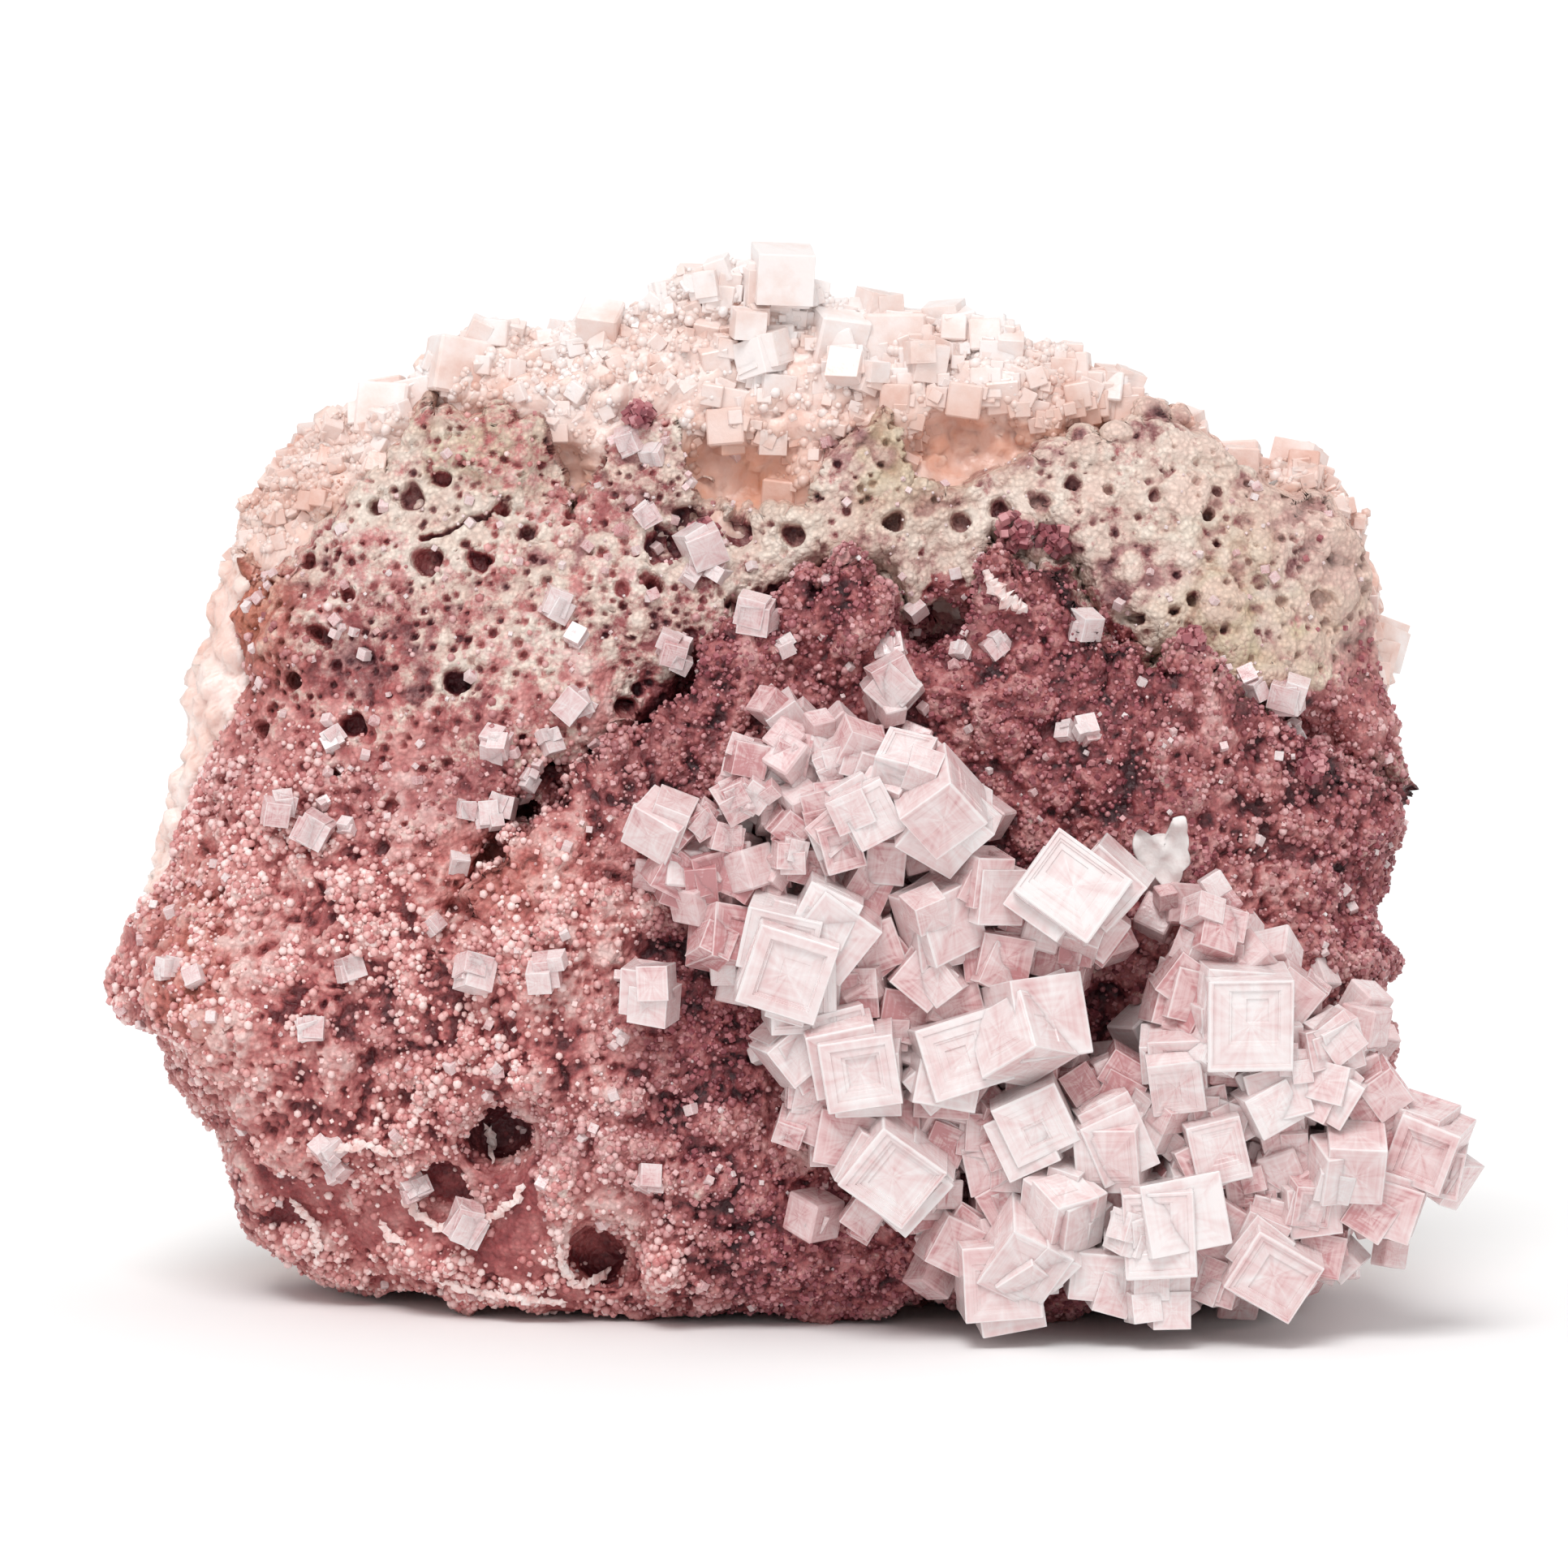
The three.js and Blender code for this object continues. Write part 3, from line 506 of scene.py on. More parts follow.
# pits, knobs, lumps, grains and nubs: domes of random size on jittered lattices of their own width
wide_away, wide_luck = cells(crust_grid, 3.0, 82)
pit_share = 0.7 - 0.5 * smoothstep((crust_x + 4) / 16)
wide_pits = dome(wide_away, 0.45 + 0.8 * wide_luck[..., 0] ** 2) * (wide_luck[..., 1] < pit_share)
small_away, small_luck = cells(crust_grid, 1.35, 83)
small_pits = dome(small_away, 0.24 + 0.36 * small_luck[..., 0])
small_pits = small_pits * (small_luck[..., 1] < 0.3 + 0.75 * pit_share)
knobs = bumps(crust_grid + 0.5 * fray[..., None], 2.4, 62, 1.7, 0.4)
lumps = bumps(crust_grid + 0.9 * warp[..., None], 5.2, 64, 3.4)
fine_grains = bumps(crust_grid, 1.0, 63, 0.7, 0.4)
nubs = bumps(crust_grid + 0.7 * fray[..., None], 2.2, 85, 1.5)
pore_height = (swell + 0.8 * warp + 0.3 * fray + 0.6 * nubs + 1.2 * lumps * smoothstep((crust_x - 24) / 14)
               - 1.2 * wide_pits - 0.7 * small_pits)
red_height = (swell + 0.9 * warp + 0.35 * fray + 1.3 * lumps + 0.6 * knobs + 0.5 * fine_grains
              - 0.6 * small_pits - 1.1)
smooth_hollow = (smoothstep((22 - crust_z) / 8) * smoothstep((-18 - crust_x) / 8)
                 * smoothstep((0.1 - warp) / 0.5))
red_height = red_height * (1 - 0.75 * smooth_hollow) - 0.8 * smooth_hollow
holes = np.zeros(crust_x.shape)
for hole_x, hole_z, hole_radius, hole_depth in large_holes:
    hole_away = np.hypot(crust_x - hole_x, (crust_z - hole_z) * 1.1) / hole_radius + 0.35 * fray
    hole_depth = min(hole_depth, 2.4) if hole_z > 80 else hole_depth
    holes = np.maximum(holes, hole_depth * smoothstep((1.25 - hole_away) / 0.6))
crack = [(-40, 86.6), (-37.6, 87.4), (-35.4, 88.8), (-32.6, 89.4), (-29.8, 91.6)]
crack_line = along(crack, crust_x) + 0.5 * fray
in_crack = (np.abs(crust_z - crack_line) < 0.28) & (crust_x > crack[0][0]) & (crust_x < crack[-1][0])
holes = np.maximum(holes, 1.3 * in_crack)
crust_height = red_height * (1 - porous) + pore_height * porous - holes
# how deep each point lies below its surroundings, within 1 mm and within 4 mm: painted shade for the colours
hollow = 0.5 + (blurred(crust_height, 5) - crust_height) / 1.4
hollow += (blurred(crust_height, 16) - crust_height) / 3.6 * (1 - 0.6 * porous)
# painted shadow along the foot of the ledge, where the crust meets the sheet's edge; it adds to the hollow
# depth
ledge_shadow = (np.exp(-((ledge_height + 1.8) / 2) ** 2) * smoothstep((crust_x + 38) / 8)
                 * smoothstep((8 - crust_x) / 6))
hollow += 0.9 * ledge_shadow
hollow = np.clip(hollow, 0, 1)
crust_height = crust_height * (1 - 0.8 * sunk)
crust_skin = crust_grid + crust_out * crust_height[..., None]
foot_fray = (1.6 * np.clip(0.35 + rough_noise(crust_grid, 5, 51, 2), 0, 2)
             * smoothstep((4 - crust_skin[..., 2]) / 4))
crust_skin[..., 2] = np.maximum(crust_skin[..., 2], 0) + foot_fray * smoothstep((2 - crust_skin[..., 1]) / 8)
crust_skin[..., 1] = np.minimum(crust_skin[..., 1], front_half_y)

# olive and orange stains: x, z, half width, half height, strength
olive_spots = [(10, 96, 12, 6, 0.8), (55, 78, 11, 10, 1), (-35, 97, 13, 6, 0.6)]
orange_spots = [(-60, 79, 5, 8, 1), (-66, 40, 5, 10, 0.5), (-30, 50, 8, 5, 0.3)]
olive = soft_spots(crust_x, crust_z, olive_spots) * smoothstep((warp + 0.6) / 0.8)
orange = (soft_spots(crust_x, crust_z, orange_spots)
          + 0.3 * sunk * smoothstep((crust_z - 84) / 6) * (np.abs(crust_x) < 50))
# how pale the red grains are: pale pink at the lower left, dark on the sheet and near the ledge
pale = (smoothstep((-2 - crust_x + 5 * warp) / 30) * (0.55 + 0.45 * smoothstep((62 - crust_z) / 12))
        + 0.25 * smoothstep((crust_x - 44) / 10) * smoothstep((68 - crust_z) / 10) + 0.25 * fray
        + 0.5 * noise(crust_grid, 11, 45))
shoulder = smoothstep((crust_x - 50 + 6 * warp) / 8) * smoothstep((crust_z - 68) / 8)
pink_lumps = 0.6 * smoothstep((lumps - 0.35) / 0.25) * smoothstep((crust_x - 22) / 12) * porous
pink_veil = np.maximum(smoothstep(above_top / 1.5 + 0.2), 0.65 * shoulder * smoothstep((0.9 + fray) / 0.8))
pink_veil = np.maximum(pink_veil, pink_lumps)
# the zones carry the cream share, the hollow depth that paints shade, and the olive share
zone_colors = np.stack([cream, hollow, np.clip(olive, 0, 1)], axis=-1)
stain_colors = np.stack([np.clip(orange, 0, 1), np.clip(pale, 0, 1), smooth_hollow * (1 - porous)], axis=-1)

salt_crust, add, dress = new_material("salt_crust")
place = add("TexCoord").outputs["Object"]
zones = add("SeparateColor", Color=attribute("zones", "Color")).outputs
stains = add("SeparateColor", Color=attribute("stains", "Color")).outputs
cream_share, hollow_shade, olive_share = zones["Red"], zones["Green"], zones["Blue"]
orange_share, pale_share, smooth_share = stains["Red"], stains["Green"], stains["Blue"]
grain_edges = add("TexVoronoi", Vector=place, Scale=1500.0).outputs["Distance"]
# painted shade: the tone darkens in the hollows and lightens on the raised tips, which also draw the cream
# and some pink
tip = maths("SUBTRACT", 1.0, hollow_shade)
slow_tone = scaled(clouds(75.0, 2.0), 0.8, -0.6)
tone = scaled(clouds(300.0, 6.0, 0.7), 0.9, slow_tone)
tone = scaled(tip, 0.55, tone)
dark_reds = ramp(tone, (0.2, (0.045, 0.007, 0.012)), (0.42, (0.22, 0.04, 0.048)),
                 (0.62, (0.44, 0.125, 0.127)), (0.88, (0.64, 0.31, 0.30)))
pale_reds = ramp(tone, (0.2, (0.13, 0.015, 0.02)), (0.4, (0.45, 0.11, 0.108)), (0.6, (0.68, 0.29, 0.27)),
                 (0.88, (0.88, 0.61, 0.575)))
reds = mix(pale_share, dark_reds, pale_reds)
creams = ramp(tone, (0.16, (0.12, 0.03, 0.04)), (0.36, (0.42, 0.20, 0.19)), (0.52, (0.74, 0.56, 0.475)),
              (0.8, (0.87, 0.77, 0.67)))
mottle = scaled(tip, 0.4, scaled(clouds(420.0, 5.0, 0.75), 1.9, -0.62))
cream_mask = add("MapRange", Value=scaled(cream_share, 0.72, mottle),
                 From_Min=0.86, From_Max=1.16).outputs[0]
# cream over red, then pink tips, olive, orange, the pink veil of the shoulder and the smooth red hollows
skin = mix(cream_mask, reds, creams)
skin = mix(scaled(scaled(tip, cream_mask), 0.16), skin, (0.78, 0.42, 0.40, 1))
skin = mix(scaled(scaled(olive_share, cream_mask), 0.7), skin, (0.54, 0.44, 0.23, 1))
skin = mix(scaled(orange_share, 0.7), skin, (0.66, 0.22, 0.125, 1))
skin = mix(attribute("pink_veil"), skin, (0.82, 0.58, 0.50, 1))
skin = mix(scaled(smooth_share, 0.42), skin, (0.30, 0.045, 0.05, 1))
# painted glints on the middles of the fine grains and painted shade at their edges: the colour is multiplied
# by 1.12 down to 0.8
glint_and_shade = add("MapRange", Value=grain_edges, From_Max=0.6, To_Min=1.12, To_Max=0.8).outputs[0]
skin = mix(1.0, skin, add("CombineColor", _0=glint_and_shade, _1=glint_and_shade, _2=glint_and_shade).outputs[0], "MULTIPLY")
dress(skin, (scaled(grain_edges, -1.0, clouds(1500.0, 4.0, 0.6)), 0.8, 0.35), Roughness=0.5)

middle_row, middle_column = crust_rows // 2, crust_columns // 2
row_halves = {"lower": (0, middle_row), "upper": (middle_row, crust_rows)}
column_halves = {"left": (0, middle_column), "right": (middle_column, crust_columns)}
skirt_depth, skirt_tuck = 2.4, 0.94
for quarter in ("lower_left", "lower_right", "upper_left", "upper_right"):
    level, half = quarter.split("_")
    (first_row, last_row), (first_column, last_column) = row_halves[level], column_halves[half]
    cut = np.s_[first_row:last_row + 1, first_column:last_column + 1]
    rows, columns = last_row - first_row, last_column - first_column
    loop = rim_loop(rows, columns)
    flat = crust_skin[cut].reshape(-1, 3)
    # closed behind by a skirt that runs straight back from the rim, then by a fan of triangles
    back_rim = flat[loop]
    back_rim[:, 1] = np.maximum(back_rim[:, 1], seam_plane(back_rim[:, 2])) + skirt_depth
    back_rim[:, ::2] = body_centre + skirt_tuck * (back_rim[:, ::2] - body_centre)
    rim = np.arange(len(loop)) + len(flat)
    behind_rim = rim + len(loop)
    skirt = np.stack([rim, behind_rim, np.roll(behind_rim, -1), np.roll(rim, -1)], axis=1)
    fan = np.stack([np.full(len(loop), behind_rim[-1] + 1), np.roll(behind_rim, -1), behind_rim], axis=1)
    points = np.concatenate([flat, flat[loop], back_rim, [back_rim.mean(axis=0)]])
    crust = put_mesh("crust_" + quarter, points, grid_faces(rows, columns), skirt, fan)
    hidden = np.zeros((2 * len(loop) + 1, 3))
    paint(crust, "zones", np.concatenate([zone_colors[cut].reshape(-1, 3), hidden]))
    paint(crust, "stains", np.concatenate([stain_colors[cut].reshape(-1, 3), hidden]))
    paint(crust, "pink_veil", np.append(pink_veil[cut].ravel(), hidden[:, 0]))
    grown(crust, salt_crust, "matrix")

# Crystal cluster. Milky cubes of halite up to 1 cm, grown into each other on the sheet. Their faces grew
# faster at the edges than in the middle, which left square steps; each has smaller cubes grown on in line
# with it, and small plain cubes fill the bed between them.
bed_depth, cluster_rise = -27, 1.7
# x, z, edge, spin, yaw, pitch, how far the middle stands forward of the bed, hollow share of the front face
cluster_cubes = [
    (-13, 55.3, 5, 20, -25, 25, 1.5), (-8.4, 55.8, 2.8, -30, 10, 10, 1.5), (-5, 58, 3.6, -25, 15, 20, 1.5),
    (-3.5, 62.6, 4, 12, 15, 0, 1), (-2.5, 59, 3.2, 35, 0, 15, 2), (1.6, 62.8, 3.4, 10, 0, 20, 0.5),
    (5.8, 62.4, 3.2, -25, 0, 10, 2), (8.8, 63.4, 4.4, 15, 10, 10, 2), (13.6, 61.6, 6, 3, -18, 32, 4),
    (17.8, 56.4, 7.6, 35, 0, 28, 4.5), (9.7, 57.4, 6, -27, 5, 5, 4.5), (5, 57.6, 4.2, -15, 0, 10, 2),
    (1.5, 55.5, 3.8, 40, 0, 15, 1.5), (1, 52.3, 3, 3, 10, 0, 3), (6.6, 53.6, 5.2, -15, 5, 5, 3.5, 0.5),
    (11.6, 51.8, 4.6, 5, 0, 10, 1.5), (3.3, 50.8, 4.2, 15, 0, 0, 0.5), (-6, 54, 3, 15, 20, 0, 1),
    (-11.4, 50, 4.8, 30, 15, 10, 0), (-7.8, 50.4, 4.6, -12, 20, 5, 0), (-4.3, 49.6, 4.2, 20, -15, 0, 0),
    (-1.2, 48.3, 4, -10, 0, 10, 0), (22.7, 48.2, 6.2, 6, 28, 5, 3), (17.4, 45.3, 7, -18, 30, 5, 3.5),
    (0.9, 40.6, 8.8, 18, 0, 8, 5, 0.6), (5.8, 44.4, 7, 37, 0, 12, 4), (1.2, 37.2, 5.4, 17, 0, 5, 6, 0.45),
    (-6.3, 42.9, 5.6, 5, 30, -20, 1), (8.2, 37.2, 5, -4, 0, 5, 1.5), (15.8, 39, 5.7, 40, 0, 0, 2.5),
    (24.2, 41.4, 5.4, 12, 10, 5, 1.5), (31.8, 48.7, 8.8, 36, 0, -12, 4.5, 0.62),
    (34.6, 44.1, 5.6, 36, 0, 0, 1), (31, 40.8, 5.2, 12, -15, 0, 0), (27.9, 34.4, 8.2, -10, 24, -14, 5),
    (19.6, 30.6, 8.4, -17, 8, -6, 4, 0.6), (8.8, 29.6, 8.6, -9, 0, 8, 5.5, 0.3),
    (2.4, 30.6, 6.4, -27, 22, 5, 3), (3.4, 24, 5.4, 25, 0, 8, 2), (12.3, 18.6, 8.6, 37, 0, 12, 5, 0.55),
    (9, 12.3, 3.6, 35, 0, 0, 1.5), (15.6, 12.9, 3.8, -10, 15, 0, 0.5), (16.8, 16, 4.8, 12, 0, 0, 1),
    (22.9, 18.1, 5.4, -12, 0, 5, 1.5), (22.2, 21.9, 4.6, 3, 10, 0, 1.5),
    (27.9, 23.6, 7, -25, 0, 6, 4.5, 0.5), (17.8, 26, 5.6, 3, 0, -5, 2), (28.6, 28.4, 5, 0, -10, 5, 0),
    (33.6, 26.4, 4.8, -20, 10, 0, 0.5), (36.4, 21.2, 7.4, -23, 10, 5, 3.5),
    (41.2, 22.6, 5.2, 24, -32, 0, 2.5), (47.6, 20.4, 7.2, -13, 5, 5, 3.5, 0.5),
    (43.2, 28.6, 6.8, -8, 0, 22, 4, 0.5), (46.6, 25.4, 3.6, -10, 10, 0, 3),
    (50.8, 34.8, 9, 0, 4, 6, 5, 0.66), (44.8, 36.8, 6.2, 15, 15, 0, 1.5), (55.8, 36.6, 5.2, 38, 0, 5, 1.5),
    (47.6, 31.2, 4.8, 30, 28, 0, 5), (55.8, 30, 3.4, 3, 10, 0, 5.5), (59.9, 31.3, 5.4, -15, 20, 5, 3.5),
    (54.3, 26.3, 6.4, -15, 0, -5, 4), (60.3, 26.4, 5.8, 30, -10, 0, 4), (65, 25.3, 5.8, -35, 0, 10, 1),
    (70.7, 20, 7.8, 19, -14, 5, 2.5, 0.5), (62.7, 19.2, 6.8, 3, 0, 26, 4.5),
    (66.7, 13.9, 6.2, 17, -8, 5, 2), (61.4, 15, 4.4, 10, 0, 0, 2.5), (54.8, 22.2, 4.8, -15, 0, 10, 1.5),
    (54.7, 18, 4.6, 35, 10, 0, 1.5), (47, 43.7, 5.2, 12, 24, -20, 2), (48.8, 40.6, 3.8, 4, 0, 0, 1),
    (58, 13.6, 5.2, -5, 10, 5, 3), (59.2, 8.4, 4.4, 12, 0, 0, 1.5), (53.8, 7.3, 7.6, 31, 0, 10, 5, 0.4),
    (53.4, 12.8, 4.6, 15, 0, 5, 2), (48.3, 10.8, 5.4, 38, 0, 5, 2), (41.3, 11.8, 9, -3, 0, 4, 5.5, 0.68),
    (38.4, 11.2, 3.8, 20, 28, 10, 8), (30.9, 13.6, 6.4, 6, 42, 32, 6), (24, 6.1, 8, -3, 6, 4, 4, 0.5),
    (26.8, 9, 7, 30, 0, 26, 5.5), (18.8, 9.6, 5.8, 28, 10, 5, 2), (34.8, 6.8, 6.2, 5, 0, 8, 4),
    (41.6, 4.8, 5.6, 3, 8, 0, 5), (48.3, 5.4, 4.8, 15, -10, 0, 2.5), (25.4, 14, 5.6, -30, 0, 5, 1.5),
    (36.2, 14.6, 5.4, 12, 0, 0, 1.5), (44.8, 16.8, 5, 20, 10, 0, 1.5), (51, 15.4, 4.8, -8, 0, 10, 1.5),
    (31, 20, 5, -20, 0, 10, 1), (7.4, 21.6, 6.6, 10, 0, 5, 2), (12.6, 24.6, 6.2, -20, 10, 0, 1),
    (17.4, 20.6, 5, 30, 0, 0, 1), (57.6, 18.4, 5, 24, 0, 0, 1), (66, 19.6, 5, -12, 0, 0, 1),
    (13.5, 34.6, 5.4, 10, 10, 0, 0.5), (10.6, 42.2, 5.4, -20, 0, 0, 0.5), (10, 48.4, 5, 24, 0, 0, 0.5),
    (26.6, 45.4, 5, 24, 0, 0, 0.5), (19.4, 35.8, 5, -15, 0, 0, 1), (38.4, 26.8, 5, 24, 0, 0, 0.5)]


def turned(spin, yaw, pitch):
    """Rotation matrices: clockwise by spin in the front view, then right by yaw, then down by pitch."""
    s, y, p = (np.radians(np.asarray(angle, float)) for angle in (spin, yaw, pitch))
    zero, one = np.zeros_like(s), np.ones_like(s)
    about_y = np.stack([np.cos(s), zero, np.sin(s), zero, one, zero, -np.sin(s), zero, np.cos(s)], -1)
    about_z = np.stack([np.cos(y), -np.sin(y), zero, np.sin(y), np.cos(y), zero, zero, zero, one], -1)
    about_x = np.stack([one, zero, zero, zero, np.cos(p), -np.sin(p), zero, np.sin(p), np.cos(p)], -1)
    about_y, about_z, about_x = (m.reshape(m.shape[:-1] + (3, 3)) for m in (about_y, about_z, about_x))
    return about_x @ about_z @ about_y


# The six faces of a cube as outward, right and up directions: front, right, back, left, top, bottom
face_frames = np.array([
    [(0, -1, 0), (1, 0, 0), (0, 0, 1)], [(1, 0, 0), (0, 1, 0), (0, 0, 1)],
    [(0, 1, 0), (-1, 0, 0), (0, 0, 1)], [(-1, 0, 0), (0, -1, 0), (0, 0, 1)],
    [(0, 0, 1), (1, 0, 0), (0, 1, 0)], [(0, 0, -1), (1, 0, 0), (0, -1, 0)]], float)
ring_corners = np.array([(-1, -1), (1, -1), (1, 1), (-1, 1)], float)


def stepped_cubes(centre, edge, rotation, radii, depths, offsets, stretch=None, taper=None):
    """Cubes whose faces are nested square rings. Ring k of a face lies at a share of the half edge from the
    middle and a depth below the face, and its middle is shifted; two depths at one share are a step. centre
    is n by 3, edge n, rotation n by 3 by 3, radii and depths n by 6 by k, offsets n by 6 by 2. Each cube is
    then stretched along its three axes, and narrowed towards its front by the taper."""
    count, _, rings = radii.shape
    half = edge[:, None, None, None, None] / 2
    outward, right, up = face_frames[:, 0], face_frames[:, 1], face_frames[:, 2]
    shifted = (offsets[:, :, None] * (1 - radii[..., None]))[:, :, :, None]
    flat = ring_corners[None, None, None] * radii[..., None, None] + shifted
    local = ((1 - depths)[..., None, None] * outward[None, :, None, None]
             + flat[..., :1] * right[None, :, None, None] + flat[..., 1:] * up[None, :, None, None]) * half
    if stretch is not None:
        frontness = -local[..., 1:2] / half
        narrow = 1 - taper[:, None, None, None, None] * (0.5 + 0.5 * frontness)
        local = local * np.concatenate([narrow, np.ones_like(narrow), narrow], axis=-1)
        local = local * stretch[:, None, None, None]
    world = np.einsum("nij,nfkcj->nfkci", rotation, local) + centre[:, None, None, None]
    index = np.arange(6 * rings * 4).reshape(6, rings, 4)
    turned_index = np.roll(index, -1, 2)
    ring = np.stack([index[:, :-1], turned_index[:, :-1], turned_index[:, 1:], index[:, 1:]], -1)
    quads = [ring.reshape(-1, 4), index[:, -1]]
    # the bevels: each vertex of an outer ring meets the ones nearest to it on the two faces beside it
    corner = outward[:, None] + ring_corners[:, :1] * right[:, None] + ring_corners[:, 1:] * up[:, None]
    outer = index[:, 0]

    def meeting(g, place):
        """The corners of face g that meet at a corner of the cube."""
        return [m for m in range(4) if np.allclose(corner[g, m], place)]

    strips, tips = [], []
    for f in range(6):
        for c in range(4):
            d = (c + 1) % 4
            for g in range(f + 1, 6):
                here, there = meeting(g, corner[f, c]), meeting(g, corner[f, d])
                if here and there:
                    strips.append([outer[f, d], outer[f, c], outer[g, here[0]], outer[g, there[0]]])
    for f in (4, 5):
        for c in range(4):
            near = [outer[g, m] for g in range(4) for m in meeting(g, corner[f, c])]
            tip = [outer[f, c], near[0], near[1]]
            sides = [outward[vertex // (4 * rings)] for vertex in tip]
            if np.dot(np.cross(sides[1] - sides[0], sides[2] - sides[0]), corner[f, c]) < 0:
                tip = [tip[0], tip[2], tip[1]]
            tips.append(tip)
    per_cube = 6 * rings * 4
    step = (np.arange(count) * per_cube)[:, None, None]
    faces4 = (np.concatenate(quads + [np.array(strips)])[None] + step).reshape(-1, 4)
    faces3 = (np.array(tips)[None] + step).reshape(-1, 3)
    share = np.broadcast_to(radii[..., None], world.shape[:-1]).reshape(-1)
    return world.reshape(-1, 3), faces4, faces3, share, flat.reshape(-1, 2)


def growth_steps(rng, count, hollow):
    """Ring shares and depths of n by 6 faces. Most faces are flat, some have faint steps that rise or fall
    towards their middle, and the hollow ones are stepped pits."""
    steps = 4
    kind = rng.random((count, 6))
    span = np.where(hollow, 0.7, 0.6)[..., None]
    inner = 0.93 - span * np.sort(rng.uniform(0, 1, (count, 6, steps)), axis=2)
    drop = np.where(kind < 0.6, 0, rng.uniform(-0.016, 0.014, (count, 6)))
    drop = np.where(hollow, rng.uniform(0.02, 0.045, (count, 6)), drop)
    drops = np.cumsum(drop[..., None] * rng.uniform(0.3, 1.4, (count, 6, steps)), axis=2)
    radii = np.concatenate([np.full((count, 6, 1), 0.975), np.repeat(inner, 2, axis=2)], axis=2)
    radii[..., 2::2] -= 0.008
    depths = np.concatenate([np.zeros((count, 6, 2)), np.repeat(drops, 2, axis=2)[..., :-1]], axis=2)
    return np.maximum(radii, 0.02), depths


def paint_cubes(piece, rng, ring, tint, on_face):
    """Paints ring share, tint and a luck of each cube, and the place on each face with its own luck. The tint
    is painted shade: it makes a cube pinker and darker.
    """
    per_cube = len(on_face) // len(tint)
    paint(piece, "ring", ring)
    paint(piece, "tint", np.repeat(tint, per_cube))
    paint(piece, "luck", np.repeat(rng.random(len(tint)), per_cube))
    face_luck = np.repeat(rng.random(6 * len(tint)), per_cube // 6)
    paint(piece, "face", np.column_stack([0.5 + 0.5 * on_face, face_luck]))


def grow_crystals(name, rows, seed, companions=2):
    """One mesh of stepped cubes from rows of centre, edge, spin, yaw, pitch, hollow and depth tint, a painted
    shade, each with smaller cubes grown on in line with it and shifted towards one of its corners."""
    rng = np.random.default_rng(seed)
    rows = np.asarray(rows, float)
    centre, edge, hollow, tint = rows[:, :3], rows[:, 3], rows[:, 7], rows[:, 8]
    rotation = turned(rows[:, 4], rows[:, 5], rows[:, 6])
    all_centre, all_edge, all_rotation, all_hollow, all_tint = [centre], [edge], [rotation], [hollow], [tint]
    for _ in range(companions):
        size = rng.uniform(0.55, 0.95, len(rows))
        way = rng.choice([-1.0, 1.0], (len(rows), 3))
        way[hollow > 0, 1] = 1
        poke = rng.uniform(0.0, 0.2, (len(rows), 3)) * (1, 0.3, 1)
        shift = way * ((1 - size[:, None]) / 2 + poke) * edge[:, None]
        all_centre.append(centre + np.einsum("nij,nj->ni", rotation, shift))
        all_edge.append(edge * size)
        lean = rng.normal(0, 10, (3, len(rows)))
        all_rotation.append(rotation @ turned(*lean))
        all_hollow.append(hollow * (rng.random(len(rows)) < 0.4))
        all_tint.append(tint)
    centre, edge, rotation, hollow, tint = (
        np.concatenate(parts) for parts in (all_centre, all_edge, all_rotation, all_hollow, all_tint))
    pitted = rng.random((len(edge), 6)) < 0.08
    pitted[:, 0] |= hollow > 0
    radii, depths = growth_steps(rng, len(edge), pitted)
    offsets = rng.uniform(-0.5, 0.5, (len(edge), 6, 2))
    stretch, taper = rng.uniform(0.86, 1.1, (len(edge), 3)), 0.14 * rng.random(len(edge)) ** 2
    points, quads, tips, share, on_face = stepped_cubes(centre, edge, rotation, radii, depths, offsets,
                                                        stretch, taper)
    piece = put_mesh(name, points, quads, tips, smooth=False)
    paint_cubes(piece, rng, share, tint, on_face)
    return piece


def grow_blocks(name, centre, edge, rotation, seed):
    """One mesh of plain cubes with bevelled edges: six faces of four corners, a tenth in from the edge."""
    rng = np.random.default_rng(seed)
    count = len(edge)
    radii, depths = np.full((count, 6, 1), 0.9), np.zeros((count, 6, 1))
    no_shift = np.zeros((count, 6, 2))
    points, quads, tips, _, on_face = stepped_cubes(centre, edge, rotation, radii, depths, no_shift)
    piece = put_mesh(name, points, quads, tips, smooth=False)
    paint_cubes(piece, rng, np.full(len(points), 0.85), rng.uniform(0, 0.7, count), on_face)
    return piece


# the last number of each row is painted shade: the less far forward of the bed a cube stands, the pinker and
# darker it is
cluster_growth, full_depth = 1.05, 4.5
cluster_rows = [(x, bed_depth - forward, z + cluster_rise, edge * cluster_growth, spin, yaw, pitch, sum(rest),
                 np.clip(1 - forward / full_depth, 0, 1))
                for x, z, edge, spin, yaw, pitch, forward, *rest in cluster_cubes]
cluster = grow_crystals("hopper_cluster", cluster_rows, 5, companions=3)

frosted_halite, add, dress = new_material("frosted_halite")
ring, tint, luck = (attribute(name) for name in ("ring", "tint", "luck"))
face = add("SeparateColor", Color=attribute("face", "Color")).outputs
across, upward = (scaled(face[n], 2.0, -1.0) for n in (0, 1))
